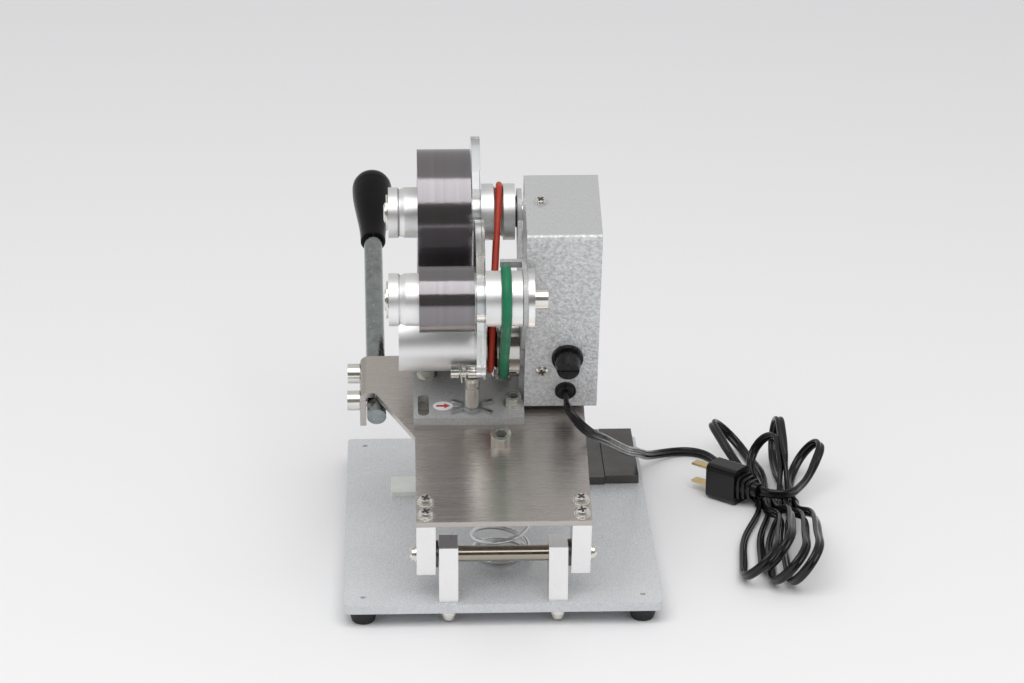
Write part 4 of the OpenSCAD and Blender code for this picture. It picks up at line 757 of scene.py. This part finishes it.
def lead_points():
    """The lead from the control box down to the table, and its way to the tie."""
    beside = Loop(*JOIN_LOOP)
    join = []
    for k in range(JOIN_STEPS, -1, -1):
        u = JOIN_AT * k / JOIN_STEPS
        v = STRAND / 2 + (beside.first.y - STRAND / 2) * u / beside.first.x
        at = beside.point(Vector((u, v)), STRAND * (1 + u / beside.reach))
        join.append(Vector((at.x, at.y, LAYER_LOW)))
    way = (join[JOIN_STEPS // 3] - join[0]).normalized()
    out = Vector((0, -math.cos(TILT), -math.sin(TILT)))
    lead = [CORD_EXIT + out * k for k in EXIT_STUB] + [Vector(p) for p in LEAD]
    lead += [join[0] - way * (CORD_WIDTH + JOIN_EASE), join[0] - way * CORD_WIDTH]
    return smooth_line(lead + join[:1], LEAD_STEPS)[:-1] + join


def add_plug_end(points):
    """Raises the last strand to the plug's level and adds the bend that leads to the plug."""
    end = points[-1]
    for i in range(1, LIFT_STEPS + 1):
        level = LAYER_LOW + (PLUG_LEVEL - LAYER_LOW) * (1 - (i - 1) / LIFT_STEPS)
        points[-i] = Vector((points[-i].x, points[-i].y, max(points[-i].z, level)))
    middle = Vector((end.x - PLUG_BEND, end.y, PLUG_LEVEL))
    for i in range(1, PLUG_STEPS + 1):
        a = -math.pi / 2 + (PLUG_HEADING + math.pi / 2) * i / PLUG_STEPS
        points.append(middle + Vector((-math.sin(a), math.cos(a), 0)) * PLUG_BEND)
    points.append(points[-1] + Vector((math.cos(PLUG_HEADING), math.sin(PLUG_HEADING), 0)) * CORD_WIDTH)


def cord_line():
    """The cord's middle line, and at each of its points the direction along its wide side."""
    points = lead_points()
    ups = [UP] * len(points)
    for shape in LOOPS:
        loop = Loop(*shape)
        for at in loop.outline():
            points.append(loop.point(at))
            ups.append(loop.up(at))
    add_plug_end(points)
    ups += [UP] * (len(points) - len(ups))
    line, ups = even_line(points, ups, PITCH)
    line, ups = relaxed(line, LINE_PASSES, STRAIGHT, TURN_HOLD), relaxed(ups, LEAN_PASSES)
    line = eased(line, LEAST_BEND, FIRST_EASING, STRAIGHT, TURN_HOLD)
    line = eased(line, LEAST_BEND - SLACK, LAST_EASING, STRAIGHT, PLUG_HOLD)
    line = [Vector((p.x, p.y, max(p.z, LAYER_LOW))) for p in line]
    return [on_base(*p) for p in line], ups


route, leans = cord_line()
sheath = [(u / 1000, v / 1000) for u, v in twin_section(CORD_WIDTH, CORD_THICK)]
cord = swept("mains_cord", route, sheath, leans, "cord")
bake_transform(cord)
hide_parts("cord_lead", "cord_hank")


TIE_WIRE, TIE_STEPS = 0.0014, 48
TIE_HIGH, TIE_LOW, TIE_ASIDE = 6.8, 2.7, 2.4


def wire_tie():
    """A covered wire round the hank, arched over its strands."""
    middle = (column(0) + column(LAST_STRAND - 1)) / 2
    half = (LAST_STRAND - 1) / 2 * STRAND + TIE_ASIDE
    ring = []
    for k in range(TIE_STEPS):
        a = 2 * math.pi * k / TIE_STEPS
        level = max(LAYER_LOW + TIE_HIGH * math.sin(a), LAYER_LOW - TIE_LOW)
        ring.append(on_base(middle + half * math.cos(a), TIE_AT.y, level))
    return swept("cord_tie_band", ring, round_section(TIE_WIRE, 10), Vector((0, 1, 0)), "cord", True)


tie = wire_tie()
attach(tie, "base")
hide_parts("cord_tie")


# Springs
SPRING_FOOT, SPRING_HEAD, SPRING_TOP = 69.8, 62.83, 79.2
SPRING_WIRE, SPRING_TURNS, SPRING_WIDTH = 3.2, 5.5, 40.0
END_GAP, CLOSE_GAP, TURN_STEPS = 0.3, 0.9, 40


def return_spring_line():
    """Coils on an axis that bows from the base to the arm, with a closed coil at each end."""
    wire, turns = SPRING_WIRE, SPRING_TURNS
    tail, head = Vector((SPRING_FOOT, 0)), Vector((SPRING_HEAD, SPRING_TOP))
    bow = Vector((SPRING_FOOT, SPRING_TOP / 2))
    length = (head - tail).length
    inset, close = (wire / 2 + END_GAP) / length, (wire + CLOSE_GAP) / length
    line = []
    for i in range(int(turns * TURN_STEPS) + 1):
        t = i / TURN_STEPS
        if t < 1:
            rise = t * close
        elif t > turns - 1:
            rise = 1 - 2 * inset - (turns - t) * close
        else:
            rise = close + (t - 1) / (turns - 2) * (1 - 2 * inset - 2 * close)
        s = inset + rise
        axis = tail * (1 - s) ** 2 + bow * (2 * s * (1 - s)) + head * s * s
        r, a = (SPRING_WIDTH - wire) / 2, 2 * math.pi * t
        lift, lean = r * math.sin(a), TILT * s
        across, above = axis.x + lift * math.cos(lean), axis.y + lift * math.sin(lean)
        line.append(on_base(r * math.cos(a), across, above))
    return line


spring_wire = round_section(SPRING_WIRE / 1000)
spring = swept("return_spring_coil", return_spring_line(), spring_wire, UP, "chrome")
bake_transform(spring)
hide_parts("return_spring")


FEED_WIRE, FEED_TURNS, FEED_WIDTH, FEED_COIL, FEED_SLEEVE = 1.0, 4, 5.4, 8.4, 20.5
COIL_STEPS, LEG_FROM, LEG_STEPS = 24, -4, 6
FEED_LEG = [(0.7, 0, 1.2), (0.8, -0.4, -4), (1.6, -1.5, -8.5), (1.8, -2, -11)]


def feed_spring_line():
    """A few coils round the feed bolt's sleeve, and a leg down beside the lever."""
    wire, turns, width, sleeve = FEED_WIRE, FEED_TURNS, FEED_WIDTH, FEED_SLEEVE
    r = FEED_COIL / 2 - wire / 2
    coil = []
    for i in range(turns * COIL_STEPS + 1):
        a = math.radians(360 / COIL_STEPS * i)
        x = -sleeve - wire / 2 - END_GAP - i / COIL_STEPS * (width - wire - 2 * END_GAP) / turns
        coil.append(Vector((x, FEED_BOLT[0] + r * math.sin(a), FEED_BOLT[1] + r * math.cos(a))))
    leg = [Vector((-sleeve - width + x, FEED_BOLT[0] + r + y, FEED_BOLT[1] + z)) for x, y, z in FEED_LEG]
    return [on_arm(*p) for p in coil[:LEG_FROM] + smooth_line([coil[LEG_FROM]] + leg, LEG_STEPS)]


feed_wire, feed_up = round_section(FEED_WIRE / 1000, 10), Vector((1, 0, 0.02))
torsion = swept("feed_spring_coil", feed_spring_line(), feed_wire, feed_up, "nickel")
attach(torsion, "lever")
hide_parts("feed_spring")


# Belts
WRAP_STEPS, BELT_SIDES = 48, 16
GREEN_THICK, RED_THICK = 0.0062, 0.004
# Each groove: its place along the axle, and the radius at the middle of the belt in it
BACK_GROOVE, DRUM_GREEN_GROOVE = (2.2, 18.3), (2.2, 22.5)
FRONT_GROOVE, DRUM_RED_GROOVE = (0.2, 17.5), (-4.8, 20.0)


def belt_line(first, first_x, first_r, second, second_x, second_r):
    """A closed line round two pulleys."""
    start, end = Vector((first_x, *first)), Vector((second_x, *second))
    way = (end - start).normalized()
    side = Vector((0, first[1] - second[1], second[0] - first[0])).normalized()
    wrap = math.acos((first_r - second_r) / (end - start).length)
    line = []
    for i in range(WRAP_STEPS + 1):
        t = wrap + (2 * math.pi - 2 * wrap) * i / WRAP_STEPS
        line.append(start + (way * math.cos(t) + side * math.sin(t)) * first_r)
    for i in range(WRAP_STEPS + 1):
        t = -wrap + 2 * wrap * i / WRAP_STEPS
        line.append(end + (way * math.cos(t) + side * math.sin(t)) * second_r)
    return [on_arm(*p) for p in line]


green_line = belt_line(BACK_REEL, *BACK_GROOVE, DRUM, *DRUM_GREEN_GROOVE)
green = swept("green_round_belt", green_line, round_section(GREEN_THICK, BELT_SIDES), ARM_X, "green", True)
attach(green, "arm")
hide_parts("green_belt")
red_line = belt_line(FRONT_REEL, *FRONT_GROOVE, DRUM, *DRUM_RED_GROOVE)
red = swept("red_round_belt", red_line, round_section(RED_THICK, BELT_SIDES), ARM_X, "red", True)
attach(red, "arm")
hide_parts("red_belt")


# Small details
def flat_piece(name, outline, depth, place, across, along, finish):
    """A thin plate with the given outline, drawn across and along a surface, its back on that surface."""
    out = across.cross(along).normalized()
    count = len(outline)
    verts = [place + across * u + along * v for u, v in outline]
    verts += [place + across * u + along * v + out * depth for u, v in outline]
    faces = [tuple(range(count - 1, -1, -1)), tuple(range(count, 2 * count))]
    faces += [(k, (k + 1) % count, (k + 1) % count + count, k + count) for k in range(count)]
    return piece_from(name, verts, faces, finish)


FILM = 0.00006
LABEL_X, LABEL_Y, LABEL_THICK = -36.2, 91.8, 0.1
LABEL = oval(0.0064, 0.0043)
ARROW = [
    (-0.0042, -0.0009), (0.0008, -0.0009), (0.0008, -0.0024), (0.0046, 0.0),
    (0.0008, 0.0024), (0.0008, 0.0009), (-0.0042, 0.0009),
]
place = on_arm(LABEL_X, LABEL_Y, BRACKET_TOP)
sticker = flat_piece("direction_label", LABEL, LABEL_THICK / 1000, place, ARM_X, ARM_Y, "label")
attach(sticker, "arm")
place = on_arm(LABEL_X, LABEL_Y, BRACKET_TOP + LABEL_THICK)
arrow = flat_piece("direction_arrow", ARROW, FILM, place, ARM_X, ARM_Y, "print")
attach(arrow, "arm")


def cross_shape(length, width):
    """The outline of a cross with four equal arms."""
    a, b = length / 2, width / 2
    quarter = [(a, -b), (a, b), (b, b)]
    out = []
    for turn in range(4):
        for u, v in quarter:
            for _ in range(turn):
                u, v = -v, u
            out.append((u, v))
    return out


CROSS_WIDTH, BIG_CROSS, SMALL_CROSS = 0.0014, 0.0052, 0.0046


def cross_recess_shade(name, place, across, along, turn, length=BIG_CROSS):
    """Painted shade: a dark cross on the flat of a screw's head, where its recess lies."""
    first = across * math.cos(turn) + along * math.sin(turn)
    second = along * math.cos(turn) - across * math.sin(turn)
    piece = flat_piece(name, cross_shape(length, CROSS_WIDTH), FILM, place, first, second, "shade")
    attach(piece, "arm")


# Heights of the screws' heads, and the places that the heads lie on
HEAD_TOP, SMALL_HEAD = 4.4, 2.6
PLATE_SCREW_X, BLOCK_END, BOX_BACK, BOX_TOP = 48.3, 54.3, 92.8, 178
# Painted shade in the cross recesses of the screws' heads on the arm plate, the pivots and the box.
for i, (side, y, turn) in enumerate([(-1, -4, 0.5), (-1, 8, 1.1), (1, -4, 0.2), (1, 8, 0.8)]):
    place = on_arm(side * PLATE_SCREW_X, y, PLATE_TOP + HEAD_TOP)
    cross_recess_shade(f"plate_screw_cross_shade_{i}", place, ARM_X, ARM_Y, turn)
for i, side in enumerate((-1, 1)):
    place = on_arm(side * (BLOCK_END + HEAD_TOP), 0, 0)
    cross_recess_shade(f"pivot_screw_cross_shade_{i}", place, ARM_Y * side, ARM_Z, 0.4 + i)
place = on_arm(26.4, BOX_BACK - SMALL_HEAD, 71)
cross_recess_shade("box_back_screw_cross_shade", place, ARM_X, ARM_Z, 0.3, SMALL_CROSS)
place = on_arm(25, 128, BOX_TOP + SMALL_HEAD)
cross_recess_shade("box_top_screw_cross_shade", place, ARM_X, ARM_Y, 0.9, SMALL_CROSS)


def painted_socket_shade(name, place, radius):
    """Painted shade: a dark hexagon on the floor of a socket head's recess."""
    piece = flat_piece(name, oval(radius, radius, 6), FILM, place, ARM_X, ARM_Y, "shade")
    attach(piece, "arm")


# The floor's height as a share of the head's, the heads' heights and the washer's
SOCKET_FLOOR, BIG_SOCKET_HEAD, SOCKET_HEAD, WASHER = 0.45, 8, 6, 1.2
SPRING_BOLT_Y, BRACKET_SCREWS = 63, [(8.7, 92.9), (2, 122), (-46, 122)]
# Painted shade on the floors of the socket heads' recesses.
place = on_arm(0, SPRING_BOLT_Y, PLATE_TOP + BIG_SOCKET_HEAD * SOCKET_FLOOR)
painted_socket_shade("spring_bolt_socket_shade", place, radius=0.0039)
for i, (x, y) in enumerate(BRACKET_SCREWS):
    place = on_arm(x, y, BRACKET_TOP + WASHER + SOCKET_HEAD * SOCKET_FLOOR)
    painted_socket_shade(f"bracket_screw_socket_shade_{i}", place, radius=0.003)


# Floor, light and world
FLOOR_SIDE, FLOOR_FAR, FLOOR_TONE = 6, 9, (0.81, 0.81, 0.815, 1)
ROOM_TONE, FAR_TONE = (0.66, 0.66, 0.667, 1), (0.525, 0.525, 0.53, 1)
DIM_FRONT, LIT_BACK = (0.075, 0.067, 0.06, 1), (0.56, 0.555, 0.545, 1)


def set_floor():
    mesh = bpy.data.meshes.new("floor")
    near = [(-FLOOR_SIDE, -FLOOR_SIDE, 0), (FLOOR_SIDE, -FLOOR_SIDE, 0)]
    far = [(FLOOR_SIDE, FLOOR_FAR, 0), (-FLOOR_SIDE, FLOOR_FAR, 0)]
    mesh.from_pydata(near + far, [], [(0, 1, 2, 3)])
    floor = bpy.data.objects.new("floor", mesh)
    bpy.context.scene.collection.objects.link(floor)
    material = bpy.data.materials.new("floor_paper")
    material.use_nodes = True
    shader = material.node_tree.nodes["Principled BSDF"]
    shader.inputs["Base Color"].default_value = FLOOR_TONE
    shader.inputs["Roughness"].default_value = 0.8
    shader.inputs["Specular IOR Level"].default_value = 0.2
    mesh.materials.append(material)


def soft_lamp(name, place, target, size, watts):
    data = bpy.data.lights.new(name, "AREA")
    data.shape = "RECTANGLE"
    data.size, data.size_y = size
    data.energy = watts
    lamp = bpy.data.objects.new(name, data)
    lamp.location = place
    lamp.rotation_mode = "QUATERNION"
    lamp.rotation_quaternion = (Vector(target) - Vector(place)).to_track_quat("-Z", "Y")
    bpy.context.scene.collection.objects.link(lamp)


def set_world():
    """A grey room, with the floor's tone past the floor's edge. Reflections find it dim in front."""
    world = bpy.data.worlds.new("studio")
    world.use_nodes = True
    tree = world.node_tree
    back = tree.nodes["Background"]
    places = add(tree, "ShaderNodeTexCoord").outputs["Generated"]
    parts = add(tree, "ShaderNodeSeparateXYZ")
    tree.links.new(places, parts.inputs[0])
    ramp = add(tree, "ShaderNodeValToRGB")
    ramp.color_ramp.elements[0].color = DIM_FRONT
    ramp.color_ramp.elements[1].color = LIT_BACK
    tree.links.new(spread(tree, parts.outputs["Y"], -0.75, -0.1), ramp.inputs[0])
    path = add(tree, "ShaderNodeLightPath")
    factor, first, second, mirrored = mix_colors(tree)
    first.default_value = ROOM_TONE
    tree.links.new(ramp.outputs["Color"], second)
    tree.links.new(path.outputs["Is Glossy Ray"], factor)
    factor, first, second, seen = mix_colors(tree)
    tree.links.new(mirrored, first)
    second.default_value = FAR_TONE
    tree.links.new(path.outputs["Is Camera Ray"], factor)
    tree.links.new(seen, back.inputs["Color"])
    back.inputs["Strength"].default_value = 1.0
    bpy.context.scene.world = world


set_floor()
set_world()
soft_lamp("overhead_softbox", place=(-0.15, -1.05, 2.0), target=(0, 0, 0.1), size=(2.6, 1.75), watts=33)
bpy.context.scene.view_settings.view_transform = "Standard"
